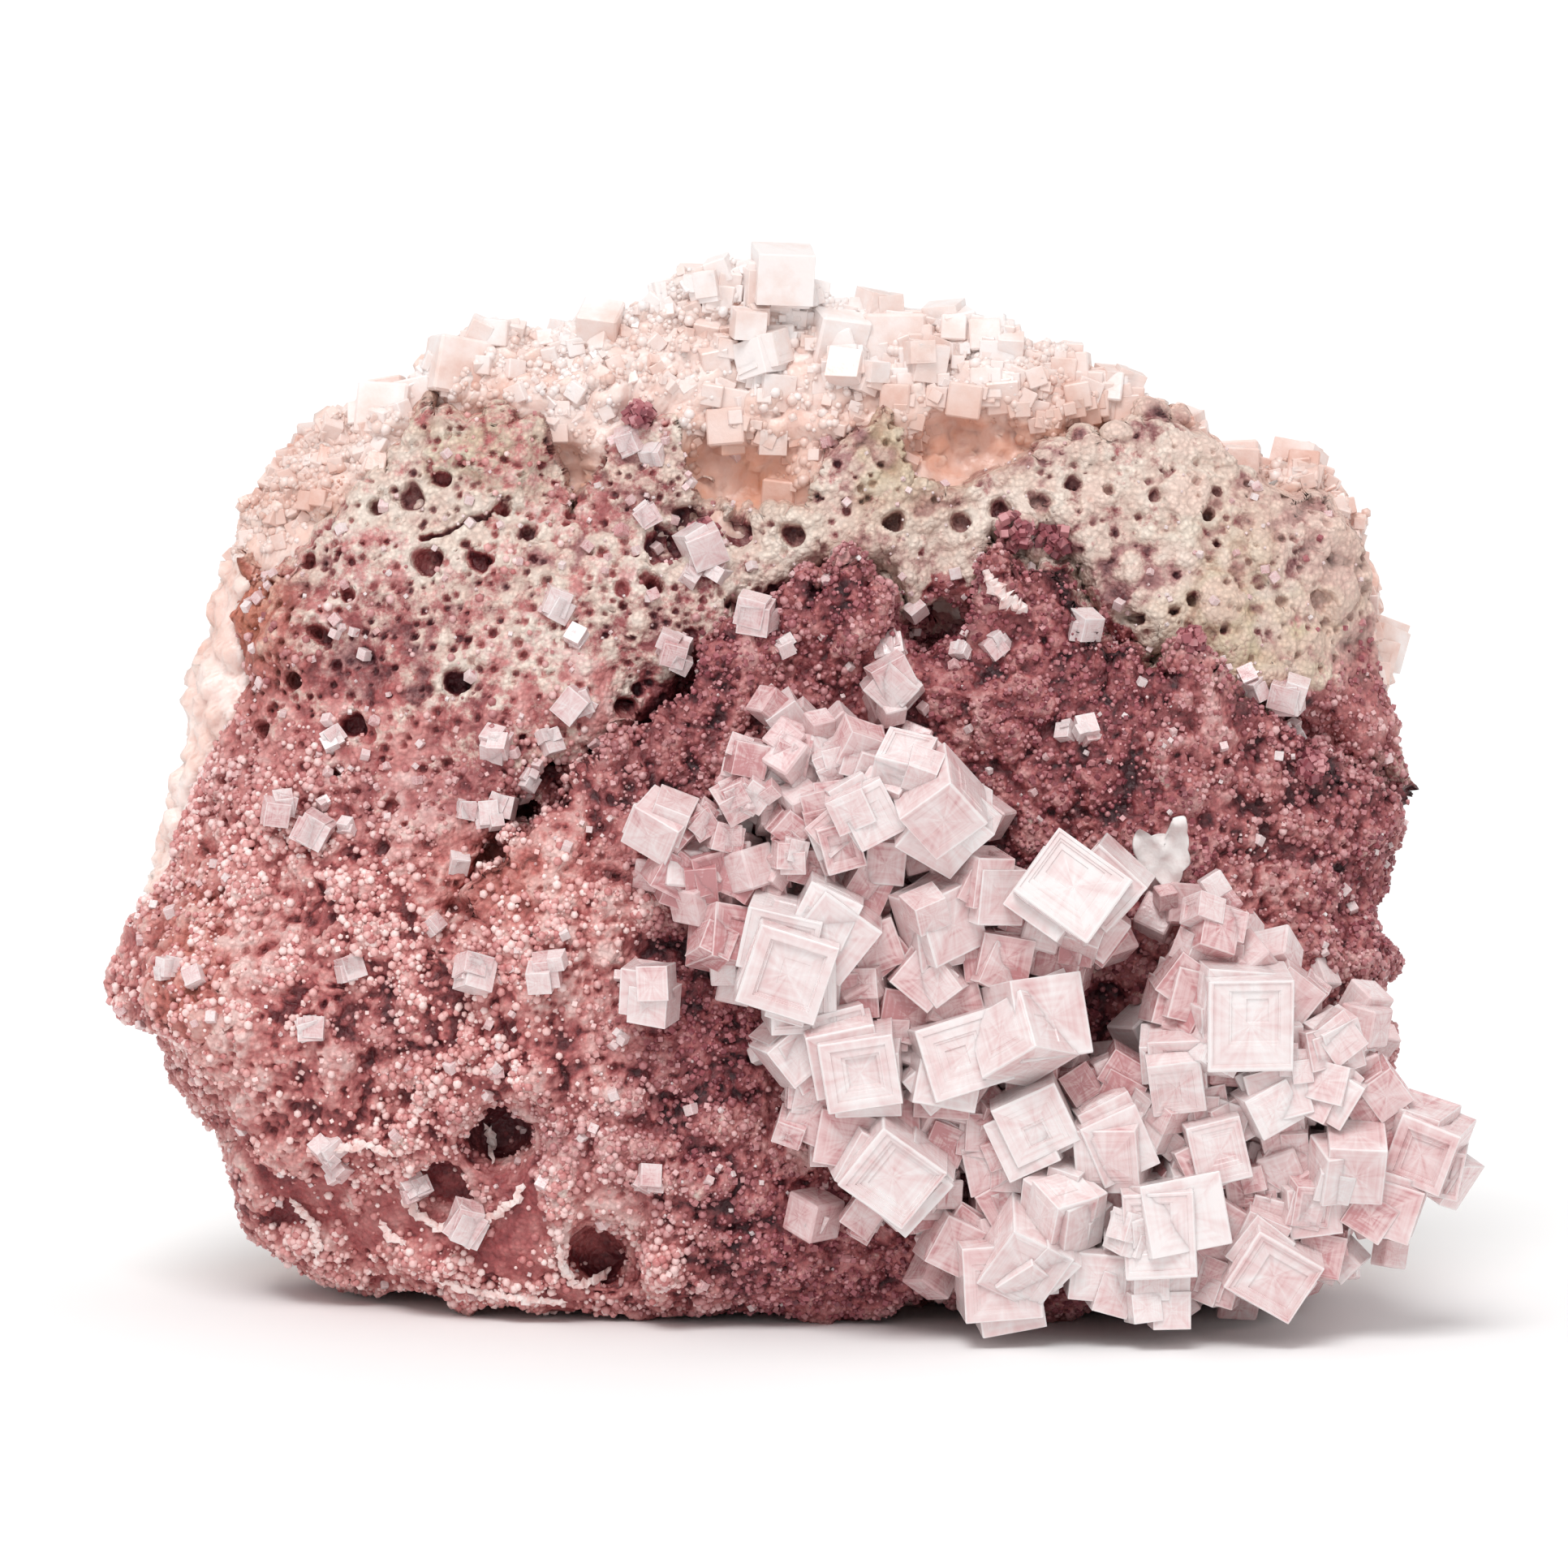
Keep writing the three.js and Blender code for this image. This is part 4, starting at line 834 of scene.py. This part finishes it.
# streaks that fan out from the middle of each face, and growth lines along its four edges
angle = maths("ARCTAN2", maths("ADD", across, upward), maths("SUBTRACT", across, upward))
from_middle = maths("MAXIMUM", maths("ABSOLUTE", across), maths("ABSOLUTE", upward))
seed = scaled(face[2], 90.0)
fan_place = add("CombineXYZ", _0=scaled(angle, 3.2), _1=seed,
                _2=scaled(from_middle, 0.7))
fans = add("TexNoise", Vector=fan_place.outputs[0], Scale=1.0, Detail=2.0, Roughness=0.5).outputs["Fac"]
side = maths("FLOOR", scaled(angle, 2 / np.pi))
line_place = add("CombineXYZ", _0=scaled(from_middle, 9.0), _1=seed,
                 _2=scaled(side, 5.3))
growth = add("TexNoise", Vector=line_place.outputs[0], Scale=1.0, Detail=1.0, Roughness=0.5).outputs["Fac"]
marks = scaled(fans, 0.75, scaled(growth, 0.55, -0.05))
# painted highlight: each face whitens along its rim
rim_highlight = add("MapRange", Value=ring, From_Min=0.93, From_Max=0.975, To_Max=0.3).outputs[0]
whiteness = scaled(clouds(260.0, 4.0, 0.55), 0.9, scaled(luck, 0.3, -0.5))
# painted shade: each cube's tint takes it down the ramp, pinker and darker
whiteness = maths("ADD", maths("SUBTRACT", whiteness, scaled(tint, 0.5)), rim_highlight)
milk = ramp(maths("ADD", whiteness, marks), (0.1, (0.62, 0.29, 0.30)), (0.38, (0.80, 0.56, 0.56)),
            (0.64, (0.87, 0.72, 0.715)), (0.95, (0.94, 0.87, 0.865)))
frost = scaled(marks, 1.2, clouds(2600.0, 3.0))
dress(milk, (frost, 0.3, 0.14), Roughness=0.2, IOR=halite_ior, Transmission_Weight=0.14,
      Subsurface_Weight=0.3, Subsurface_Radius=(0.9, 1.0, 1.0), Subsurface_Scale=0.4 * MM)
grown(cluster, frosted_halite, "crystal_cluster")

# between the large cubes, and from them back to the crust, the bed is filled with small plain ones
skin_flat, out_flat = crust_skin.reshape(-1, 3), grid_normals(crust_skin).reshape(-1, 3)


def surface_at(x, z):
    """The foremost point of the crust near each place seen from the front, and its direction out."""
    points, out = [], []
    for spot_x, spot_z in zip(x, z):
        away = np.hypot(skin_flat[:, 0] - spot_x, skin_flat[:, 2] - spot_z)
        near = np.flatnonzero(away < max(0.8, away.min() + 0.3))
        best = near[np.argmin(skin_flat[near, 1])]
        points.append([spot_x, skin_flat[best, 1], spot_z])
        out.append(out_flat[best])
    return np.array(points), np.array(out)


filler_rng = np.random.default_rng(17)
filler_count = 560
beside = filler_rng.integers(4, len(cluster_rows), filler_count)
bed_rows = np.array([row[:4] for row in cluster_rows])[beside]
filler_centre = bed_rows[:, :3] + filler_rng.normal(0, 0.45, (filler_count, 3)) * bed_rows[:, 3:]
filler_centre = np.clip(filler_centre, (-20, -60, 4), (67, 0, 120))
bed_back = np.clip(surface_at(filler_centre[:, 0], filler_centre[:, 2])[0][:, 1], bed_depth, -11)
filler_centre[:, 1] = filler_rng.uniform(bed_depth - 2, bed_back + 1.5)
fillers = grow_blocks("cluster_fillers", filler_centre, filler_rng.uniform(2, 4.6, filler_count),
                      turned(*filler_rng.normal(0, 28, (3, filler_count))), 18)
grown(fillers, frosted_halite)

# Single crystals. Small cubes of the same milky halite that stand alone on the crust, each grown on one spot.
# name, x, z, edge, spin, yaw, pitch
single_crystals = [
    ("crystal_above_cluster_left", 1, 67.8, 4.6, -34, 10, 12),
    ("crystal_above_cluster_right", 12.3, 71.4, 4.8, 43, 0, 4),
    ("crystal_left_of_cluster", -14.5, 39, 5.2, 3, -18, 8),
    ("crystal_mid_left_white", -33.3, 40.2, 3.6, 12, 25, -15),
    ("crystal_mid_left_pink", -25.4, 40.9, 3.4, -8, 0, 15),
    ("crystal_far_left_upper", -55.8, 56.8, 3.2, 10, 10, 10),
    ("crystal_far_left_lower", -51.2, 54.8, 3.4, 28, -10, 5),
    ("crystal_on_cream_band", -8.2, 86, 4, -20, 10, 12),
    ("crystal_ledge_left", -11.6, 74.6, 3.2, 15, 0, 10),
    ("crystal_ledge_middle", -2.6, 79, 3.4, 6, -10, 15),
    ("crystal_right_shoulder", 56.2, 69.6, 3.4, 12, -15, 10),
    ("crystal_lower_left", -34.7, 11.6, 3.8, 34, 0, 5)]
for number, (name, x, z, edge, spin, yaw, pitch) in enumerate(single_crystals):
    low, high = (np.array(corner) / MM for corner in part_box(name))
    middle_y = high[1] - edge * 0.62
    crust_y = surface_at([x], [z])[0][0, 1]
    row = (x, min(middle_y, crust_y - 0.2 * edge), z, edge, spin, yaw, pitch, 0, 0.3)
    single = grow_crystals(name + "_cubes", [row], 40 + number, companions=2)
    grown(single, frosted_halite, name)

# Crest. Cubes of pale halite that end the slab along its upper edge and stand in its hollows.
# x, z, edge, spin, how far behind the seam the middle lies
crest_cubes = [
    (0.4, 115.8, 6.8, 3, 3), (-1.2, 107.6, 4.4, -14, 0), (-0.6, 103, 4.2, 8, 0), (-0.8, 97.4, 3.2, 3, -1),
    (-3.4, 110.4, 3.6, 5, 0), (2.8, 99.4, 3, -6, 0), (-4, 100.4, 3, 12, 0), (4, 103.6, 3.2, -4, 1),
    (7.6, 105.4, 3.8, 36, -1), (10.6, 104.4, 2.8, 20, -1), (16.4, 106.2, 4.2, 10, 1),
    (18.6, 110.6, 4.2, -8, 6), (24.2, 106.6, 4.4, 2, 3), (10.8, 111.6, 4.2, 14, 6),
    (31.4, 105.6, 4, -14, 5), (37.6, 103, 4.2, 8, 5), (46, 98, 3.8, -10, 6), (58.6, 94.2, 4.6, 30, 7),
    (68, 73, 5.6, 24, 12), (67, 61, 4, 6, 14), (-8, 114.4, 3.6, -12, 4), (-24, 108.6, 3.4, 16, 6)]
crest_pitch, crest_tint = 8, 0.3
crest_rows = [(x, seam_plane(z) + behind, z, edge, spin, 2 * spin, crest_pitch, 0, crest_tint)
              for x, z, edge, spin, behind in crest_cubes]
crest = grow_crystals("crest_cubes", crest_rows, 7, companions=2)

crest_salt, add, dress = new_material("crest_salt")
height = add("SeparateXYZ", Vector=add("TexCoord").outputs["Object"]).outputs["Z"]
# painted light: the crest whitens towards its top, where light shines through its rim
top_light = add("MapRange", Value=height, From_Min=96 * MM, From_Max=116 * MM, To_Max=0.32).outputs[0]
whiteness = scaled(attribute("luck"), 0.25, -0.45)
whiteness = scaled(clouds(150.0, 5.0, 0.6), 1.5, whiteness)
milk = ramp(maths("ADD", whiteness, top_light), (0.15, (0.74, 0.45, 0.37)), (0.46, (0.88, 0.69, 0.63)),
            (0.8, (0.96, 0.88, 0.86)))
milk = mix(scaled(attribute("glow"), 0.9), milk, (0.68, 0.30, 0.18, 1))
dress(milk, (clouds(2200.0, 3.0), 0.4, 0.15), Roughness=0.3, IOR=halite_ior, Transmission_Weight=0.1,
      Subsurface_Weight=0.15, Subsurface_Radius=(1.0, 0.85, 0.8), Subsurface_Scale=0.35 * MM)
grown(crest, crest_salt)

golden = (1 + 5**0.5) / 2
pebble_corners = np.array([
    (-1, golden, 0), (1, golden, 0), (-1, -golden, 0), (1, -golden, 0), (0, -1, golden), (0, 1, golden),
    (0, -1, -golden), (0, 1, -golden), (golden, 0, -1), (golden, 0, 1), (-golden, 0, -1), (-golden, 0, 1)])
pebble_corners = pebble_corners / np.hypot(1, golden)
pebble_faces = np.array([
    (0, 11, 5), (0, 5, 1), (0, 1, 7), (0, 7, 10), (0, 10, 11), (1, 5, 9), (5, 11, 4), (11, 10, 2),
    (10, 7, 6), (7, 1, 8), (3, 9, 4), (3, 4, 2), (3, 2, 6), (3, 6, 8), (3, 8, 9), (4, 9, 5), (2, 4, 11),
    (6, 2, 10), (8, 6, 7), (9, 8, 1)])
box_corners = np.array([
    (-1, -1, -1), (1, -1, -1), (1, 1, -1), (-1, 1, -1), (-1, -1, 1), (1, -1, 1), (1, 1, 1), (-1, 1, 1)]) / 2
box_faces = np.array([(0, 3, 2, 1), (4, 5, 6, 7), (0, 1, 5, 4), (1, 2, 6, 5), (2, 3, 7, 6), (3, 0, 4, 7)])


def scatter(name, corners, faces, centre, size, turn, smooth):
    """One mesh of many copies of a small closed shape, each of its own size, place and turn."""
    points = np.einsum("nij,cj->nci", turn, corners) * size[:, None, None] + centre[:, None]
    step = np.arange(len(size))[:, None, None] * len(corners)
    all_faces = (faces[None] + step).reshape(-1, faces.shape[1])
    return put_mesh(name, points.reshape(-1, 3), all_faces, smooth=smooth)


block_rng = np.random.default_rng(21)
slab_out = np.concatenate([front_out.reshape(-1, 3), back_out.reshape(-1, 3)])
is_front = np.arange(len(slab_points)) < offset
slab_glow = np.clip(glow_spots, 0, 1) * is_front
over_top = slab_points[:, 2] - along(ragged_top, slab_points[:, 0])
crown = is_front & (over_top > 0.5) & (slab_points[:, 2] > 80) & (slab_glow < 0.7)
clumps = noise(slab_points, 7, 91)
behind = ~is_front & (slab_points[:, 2] > 6) & (slab_points[:, 0] > -56) & (slab_points[:, 0] < 62)
sides = is_front & (slab_points[:, 2] > 40) & (slab_points[:, 0] > 62)
right_crown = crown & (slab_points[:, 0] > -34) & (clumps > -0.1)
left_crown = crown & (slab_points[:, 0] < -8)
# name, where on the slab, how many, least and greatest edge, and spread of their tilt in degrees
for name, where, count, low, high, tilt in [
        ("crown_blocks", right_crown & ~left_crown, 210, 1.4, 4.2, 9),
        ("crown_lumps", crown & ~left_crown, 420, 0.7, 2.2, 12),
        ("left_crown_lumps", left_crown, 260, 0.8, 2.4, 25), ("back_blocks", behind, 560, 2.5, 7, 12),
        ("side_blocks", sides, 130, 1.0, 2.8, 14)]:
    chosen = block_rng.choice(np.flatnonzero(where), count)
    edge = low + (high - low) * block_rng.random(count) ** 2
    rotation = turned(*block_rng.normal(0, tilt, (3, count)))
    centre = slab_points[chosen] - slab_out[chosen] * edge[:, None] * block_rng.uniform(0.2, 0.48, (count, 1))
    blocks = grow_blocks(name, centre, edge, rotation, 22)
    paint(blocks, "glow", np.repeat(slab_glow[chosen], len(blocks.data.vertices) // count))
    grown(blocks, crest_salt)
sugar_count = 3000
chosen = block_rng.choice(np.flatnonzero(crown), sugar_count)
size = 0.25 + 0.6 * block_rng.random(sugar_count) ** 2
sugar_centre = slab_points[chosen] - slab_out[chosen] * 0.4 * size[:, None]
sugar = scatter("crown_sugar", pebble_corners, pebble_faces, sugar_centre, size,
                turned(*block_rng.uniform(-180, 180, (3, sugar_count))), True)
paint(sugar, "luck", np.repeat(block_rng.random(sugar_count), len(pebble_corners)))
paint(sugar, "glow", np.repeat(slab_glow[chosen], len(pebble_corners)))
grown(sugar, crest_salt)

# Grains. Loose-looking round grains of pink salt and dark red specks of drusy cubes that cover the crust,
# each half sunk in it; they grew on it last, with the white specks among them.
salt_grain, add, dress = new_material("salt_grain")
cloud = clouds(900.0, 3.0)
tone = scaled(attribute("luck"), 0.7, scaled(cloud, 0.5))
dark_grains = ramp(tone, (0.2, (0.14, 0.025, 0.038)), (0.6, (0.36, 0.10, 0.12)), (0.95, (0.56, 0.26, 0.27)))
pale_grains = ramp(tone, (0.2, (0.50, 0.15, 0.148)), (0.55, (0.75, 0.40, 0.38)), (0.95, (0.92, 0.73, 0.70)))
dress(mix(attribute("pale"), dark_grains, pale_grains), (cloud, 0.5, 0.2), Roughness=0.38, IOR=halite_ior)

grain_rng = np.random.default_rng(33)
cell_across, cell_up = (np.gradient(crust_skin, axis=n).reshape(-1, 3) for n in (1, 0))
cell_area = np.linalg.norm(np.cross(cell_across, cell_up), axis=-1)
pale_flat, cream_flat = np.clip(pale, 0, 1).ravel(), cream.ravel()
on_red = ((1 - cream_flat) ** 2 * (1 - sunk.ravel()) * (skin_flat[:, 1] < 2)
          * (1 - 0.9 * smooth_hollow.ravel()) * (1 - 0.9 * holes.ravel() / 5) * cell_area
          * (skin_flat[:, 2] > 0.8) * (1 - 0.9 * shoulder.ravel()))
tips = np.clip(1.3 - hollow.ravel() * 1.4, 0.05, 1)
clump_flat = np.clip(0.45 + 1.8 * rough_noise(skin_flat, 6, 93, 2), 0.08, 1)
pitted_left = (smoothstep((crust_z - 60) / 10) * smoothstep((-6 - crust_x) / 8) * (1 - on_sheet)).ravel()
# name, form, where they grow, how many, least and greatest size in mm, and whether they are round
for name, corners, faces, weight, count, low, high, smooth in [
        ("pale_grains", pebble_corners, pebble_faces,
         on_red * pale_flat * tips * clump_flat * (1 - 0.7 * pitted_left), 8200, 0.18, 0.6, True),
        ("red_grains", pebble_corners, pebble_faces, on_red * (1.05 - pale_flat) * (1 - 0.8 * pitted_left),
         7600, 0.14, 0.42, True),
        ("red_druse", box_corners, box_faces, on_red * (1.1 - pale_flat) * tips * (1 - 0.9 * pitted_left),
         11500, 0.2, 0.6, False)]:
    chosen = grain_rng.choice(len(skin_flat), count, p=weight / weight.sum())
    size = low + (high - low) * grain_rng.random(count) ** 1.5
    centre = skin_flat[chosen] + out_flat[chosen] * (0.15 * size[:, None])
    shift = grain_rng.uniform(-0.5, 0.5, (2, count, 1))
    centre += shift[0] * cell_across[chosen] + shift[1] * cell_up[chosen]
    centre[:, 2] = np.maximum(centre[:, 2], size)
    turn = turned(*grain_rng.uniform(-180, 180, (3, count)))
    grains = scatter(name, corners, faces, centre, size, turn, smooth)
    paint(grains, "luck", np.repeat(grain_rng.random(count), len(corners)))
    paint(grains, "pale", np.repeat(pale_flat[chosen], len(corners)))
    grown(grains, salt_grain)

# White specks. Small clear cubes of halite strewn over the crust: the larger ones each at its own place.
# x, z, edge
placed_specks = [
    (-48, 55.4, 1.4), (-50.6, 57.6, 1.2), (-24.7, 80.1, 2.6), (-22.5, 76.3, 1.8), (0.6, 75.5, 1.8),
    (-11.6, 75, 2.4), (-14.5, 89.4, 2.2), (12.3, 75.6, 2.4), (15.2, 79, 1.8), (23.7, 75.4, 2.2),
    (33.9, 77.7, 2.6), (33.8, 66.7, 2.2), (52.7, 70.6, 2.2), (-22.8, 68.8, 3), (-25.4, 64.5, 2.2),
    (-31.3, 64.3, 2.6), (-27.7, 60.3, 1.8), (-49.6, 64.7, 2), (-32.1, 56.9, 2.4), (-30.4, 57.6, 2.2),
    (-34.6, 57.2, 1.8), (-35.4, 51.5, 1.8), (-51.8, 33.2, 2.6), (-68, 39.5, 2), (-64.7, 38.6, 2.1),
    (-47.3, 39.9, 2.1), (-14.3, 17.9, 2.6), (-50, 19.6, 2.4), (-49.1, 17.1, 2.2), (-40.6, 14.9, 2.3),
    (-18.3, 100.6, 2.6), (-16.5, 97.5, 2.5), (-14.3, 96.2, 2), (-20, 99, 1.8), (-8.6, 84.3, 2),
    (-6.8, 83, 1.8), (-9.8, 82.6, 1.7), (-4.6, 96.6, 2.2), (52, 71.8, 1.8), (20, 75, 1.5),
    (31.6, 66.2, 1.6), (-12.5, 58, 1.8), (-38, 45, 1.6)]
speck_x, speck_z, speck_edge = np.transpose(placed_specks)
speck_points, _ = surface_at(speck_x, speck_z)
speck_turns = grain_rng.uniform(-40, 40, (len(speck_edge), 3))
not_hollow_light_tint = np.tile([0, 0.25], (len(speck_edge), 1))
speck_rows = np.column_stack([speck_points + [0, 0.15, 0] * speck_edge[:, None], speck_edge * 1.1,
                              speck_turns, not_hollow_light_tint])
specks = grow_crystals("placed_specks", speck_rows, 61, companions=2)
grown(specks, frosted_halite)

# Clumps of dark red druse on the crust: x, z, radius
red_clumps = [(-15.6, 100.4, 1.5), (-8.2, 87.2, 1.7), (26, 87.6, 2.2), (30.5, 86.8, 2), (45.5, 76.4, 1.4),
              (59, 62, 1.6)]
clump_grains = 90
druse_count = clump_grains * len(red_clumps)
clump_x, clump_z, clump_radius = np.transpose(red_clumps)
clump_middles, _ = surface_at(clump_x, clump_z)
clump_way = grain_rng.normal(0, 1, (len(red_clumps), clump_grains, 3))
clump_reach = grain_rng.random((len(red_clumps), clump_grains, 1)) ** 0.4
clump_way *= clump_reach / np.linalg.norm(clump_way, axis=2, keepdims=True)
clump_centre = clump_middles[:, None] + clump_way * clump_radius[:, None, None]
clumps_of_druse = scatter("red_clumps", box_corners, box_faces, clump_centre.reshape(-1, 3),
                          grain_rng.uniform(0.4, 1.0, druse_count),
                          turned(*grain_rng.uniform(-180, 180, (3, druse_count))), False)
paint(clumps_of_druse, "luck", np.repeat(grain_rng.random(druse_count), len(box_corners)))
grown(clumps_of_druse, salt_grain)

strewn_count = 1100
strewn_clumps = 0.25 + 0.75 * (noise(skin_flat, 9, 97) > 0.1)
strewn_weight = ((skin_flat[:, 1] < 0) * (skin_flat[:, 2] > 1.5) * (1 - sunk.ravel()) * cell_area * tips
                 * strewn_clumps)
chosen = grain_rng.choice(len(skin_flat), strewn_count, replace=False, p=strewn_weight / strewn_weight.sum())
strewn_size = 0.25 + 1.1 * grain_rng.random(strewn_count) ** 4
strewn = grow_blocks("strewn_specks", skin_flat[chosen] + out_flat[chosen] * 0.1, strewn_size,
                     turned(*grain_rng.uniform(-50, 50, (3, strewn_count))), 62)
grown(strewn, frosted_halite)

# Salt skins. White crusty rims left by brine around the hollows at the lower left, a white sliver on the
# ledge, and the thin curled flake beside the cluster, which is held at its lower edge.
# x, z along each rim, and its half width
crusty_rims = [
    ([(-54.8, 13), (-53.6, 11.6), (-52.2, 9.8), (-51.6, 7.6), (-52, 6)], 0.4),
    ([(-51, 20.2), (-48.6, 19.6), (-45.6, 20.2), (-42.6, 19.2)], 0.42),
    ([(-42, 14.6), (-40.6, 12), (-37.6, 10.6), (-35, 10.8), (-32, 12.2), (-29.2, 14.4), (-28.2, 16.6)], 0.45),
    ([(-32.6, 22.4), (-31.9, 20.4), (-31.8, 18)], 0.36),
    ([(-24.3, 9.6), (-24, 6.6), (-22.6, 4.6), (-20.4, 4.8), (-18.6, 6)], 0.42),
    ([(-37.8, 4.6), (-33.6, 3.4), (-28.6, 2.9), (-23.4, 2.6)], 0.36),
    ([(22.4, 84), (23.4, 82.6), (25.2, 80.8), (27.4, 79.2)], 0.8),
    ([(-44.6, 11), (-43.4, 9.2), (-41.4, 8.4)], 0.4)]


def crusty_rope(path, half_width, seed):
    """A flattened rope along the path on the crust, with six corners around and ends drawn to a point. Its
    radius is the half width times a noise and times the root of the distance to the nearer end."""
    rng = np.random.default_rng(seed)
    path = np.array(path, float)
    length = np.append(0, np.cumsum(np.hypot(*np.diff(path, axis=0).T)))
    along = np.linspace(0, length[-1], int(length[-1] / 0.35) + 4)
    x = np.interp(along, length, path[:, 0]) + rng.normal(0, 0.12, len(along))
    z = np.interp(along, length, path[:, 1]) + rng.normal(0, 0.12, len(along))
    centre, _ = surface_at(x, z)
    centre[:, 1] = np.convolve(np.pad(centre[:, 1], 2, mode="edge"), np.ones(5) / 5, mode="valid") - 0.3
    around = np.arange(6) * np.pi / 3
    taper = np.sqrt(np.clip(np.minimum(along, length[-1] - along) / 1.6, 0.0004, 1))
    radius = 1.15 * half_width * taper[:, None] * rng.uniform(0.45, 1.55, (len(along), 6))
    tangent = np.gradient(centre, axis=0)
    tangent /= np.linalg.norm(tangent, axis=1, keepdims=True)
    side = np.cross(tangent, [0, -1, 0])
    side /= np.linalg.norm(side, axis=1, keepdims=True)
    ring = (np.cos(around)[None, :, None] * side[:, None]
            + np.sin(around)[None, :, None] * np.array([0, -0.6, 0]))
    points = centre[:, None] + radius[..., None] * ring
    index = np.arange(len(along) * 6).reshape(-1, 6)
    quads = np.stack([index[:-1], np.roll(index, -1, 1)[:-1], np.roll(index, -1, 1)[1:], index[1:]], -1)
    return points.reshape(-1, 3), quads.reshape(-1, 4), index[0][::-1], index[-1]


rope_points, rope_quads, rope_ends, first = [], [], [], 0
for number, (path, half_width) in enumerate(crusty_rims):
    points, quads, start_cap, end_cap = crusty_rope(path, half_width, 70 + number)
    rope_points.append(points)
    rope_quads.append(quads + first)
    rope_ends += [start_cap + first, end_cap + first]
    first += len(points)
rims = put_mesh("crusty_rims", np.concatenate(rope_points), np.concatenate(rope_quads), np.array(rope_ends),
                smooth=False)
white_skin, add, dress = new_material("white_skin")
cloud = clouds(800.0, 4.0)
dress(ramp(cloud, (0.3, (0.74, 0.46, 0.43)), (0.62, (0.88, 0.76, 0.73))), (cloud, 0.7, 0.3), Roughness=0.5,
      Subsurface_Weight=0.3, Subsurface_Radius=(1.0, 0.7, 0.65), Subsurface_Scale=0.6 * MM)
grown(rims, white_skin)

flake_middle, flake_half, flake_thickness = (42, 53.4), (2.9, 3.3), 0.35
flake_outline = [
    (2.7, 2.4), (2.4, 4.4), (1, 4.1), (0.4, 2.2), (-1.2, 2), (-2.6, 2.9), (-3.3, 1.2), (-2.8, -0.6),
    (-1.9, -2.4), (-0.8, -2.6), (0.4, -3.9), (1.9, -3.4), (2.3, -2), (3.1, -1.2), (2.8, 0.4)]
flake_hold, _ = surface_at(flake_middle[0] + np.array([-2, 0, 2, 0, 0]),
                           flake_middle[1] + np.array([0, 2, 0, -2, 0]))


def flake_curl(x, z):
    """The flake stands off the crust by more towards its top, and curls to the front at its upper rim."""
    rise = (z - flake_middle[1]) / flake_half[1]
    ripple = 0.25 * np.sin(1.9 * x) * np.cos(1.4 * z)
    held = flake_hold[:, 1].min() - 0.5
    return held - 0.9 * smoothstep((rise + 1) / 2) - 1.4 * smoothstep((rise - 0.6) / 0.5) + ripple


flake_cells = 28
flake_t, flake_angle = disc_grid(flake_cells, flake_cells)
flake_reach = flake_t * radius_around(flake_outline, (0, 0), flake_angle)
flake_x = flake_middle[0] + flake_reach * np.cos(flake_angle)
flake_z = flake_middle[1] + flake_reach * np.sin(flake_angle)
flake_y = flake_curl(flake_x, flake_z)
flake_front = np.stack([flake_x, flake_y, flake_z], axis=-1)
flake_back = flake_front + np.array([0, flake_thickness, 0]) * (1 - flake_t[..., None] ** 6)
flake_points = (flake_cells + 1) ** 2
flake_back_index = np.arange(flake_points) + flake_points
flake_rim = rim_loop(flake_cells, flake_cells)
flake_back_index[flake_rim] = flake_rim
flake_faces = grid_faces(flake_cells, flake_cells)
flake = put_mesh("curled_flake", np.concatenate([flake_front.reshape(-1, 3), flake_back.reshape(-1, 3)]),
                 flake_faces, flake_back_index[flake_faces][:, ::-1])
grey_skin, add, dress = new_material("grey_skin")
cloud = clouds(700.0, 4.0)
dress(ramp(cloud, (0.3, (0.78, 0.66, 0.64)), (0.6, (0.92, 0.87, 0.85))), (cloud, 0.8, 0.25), Roughness=0.3,
      IOR=halite_ior, Transmission_Weight=0.1)
grown(flake, grey_skin, "salt_flake")
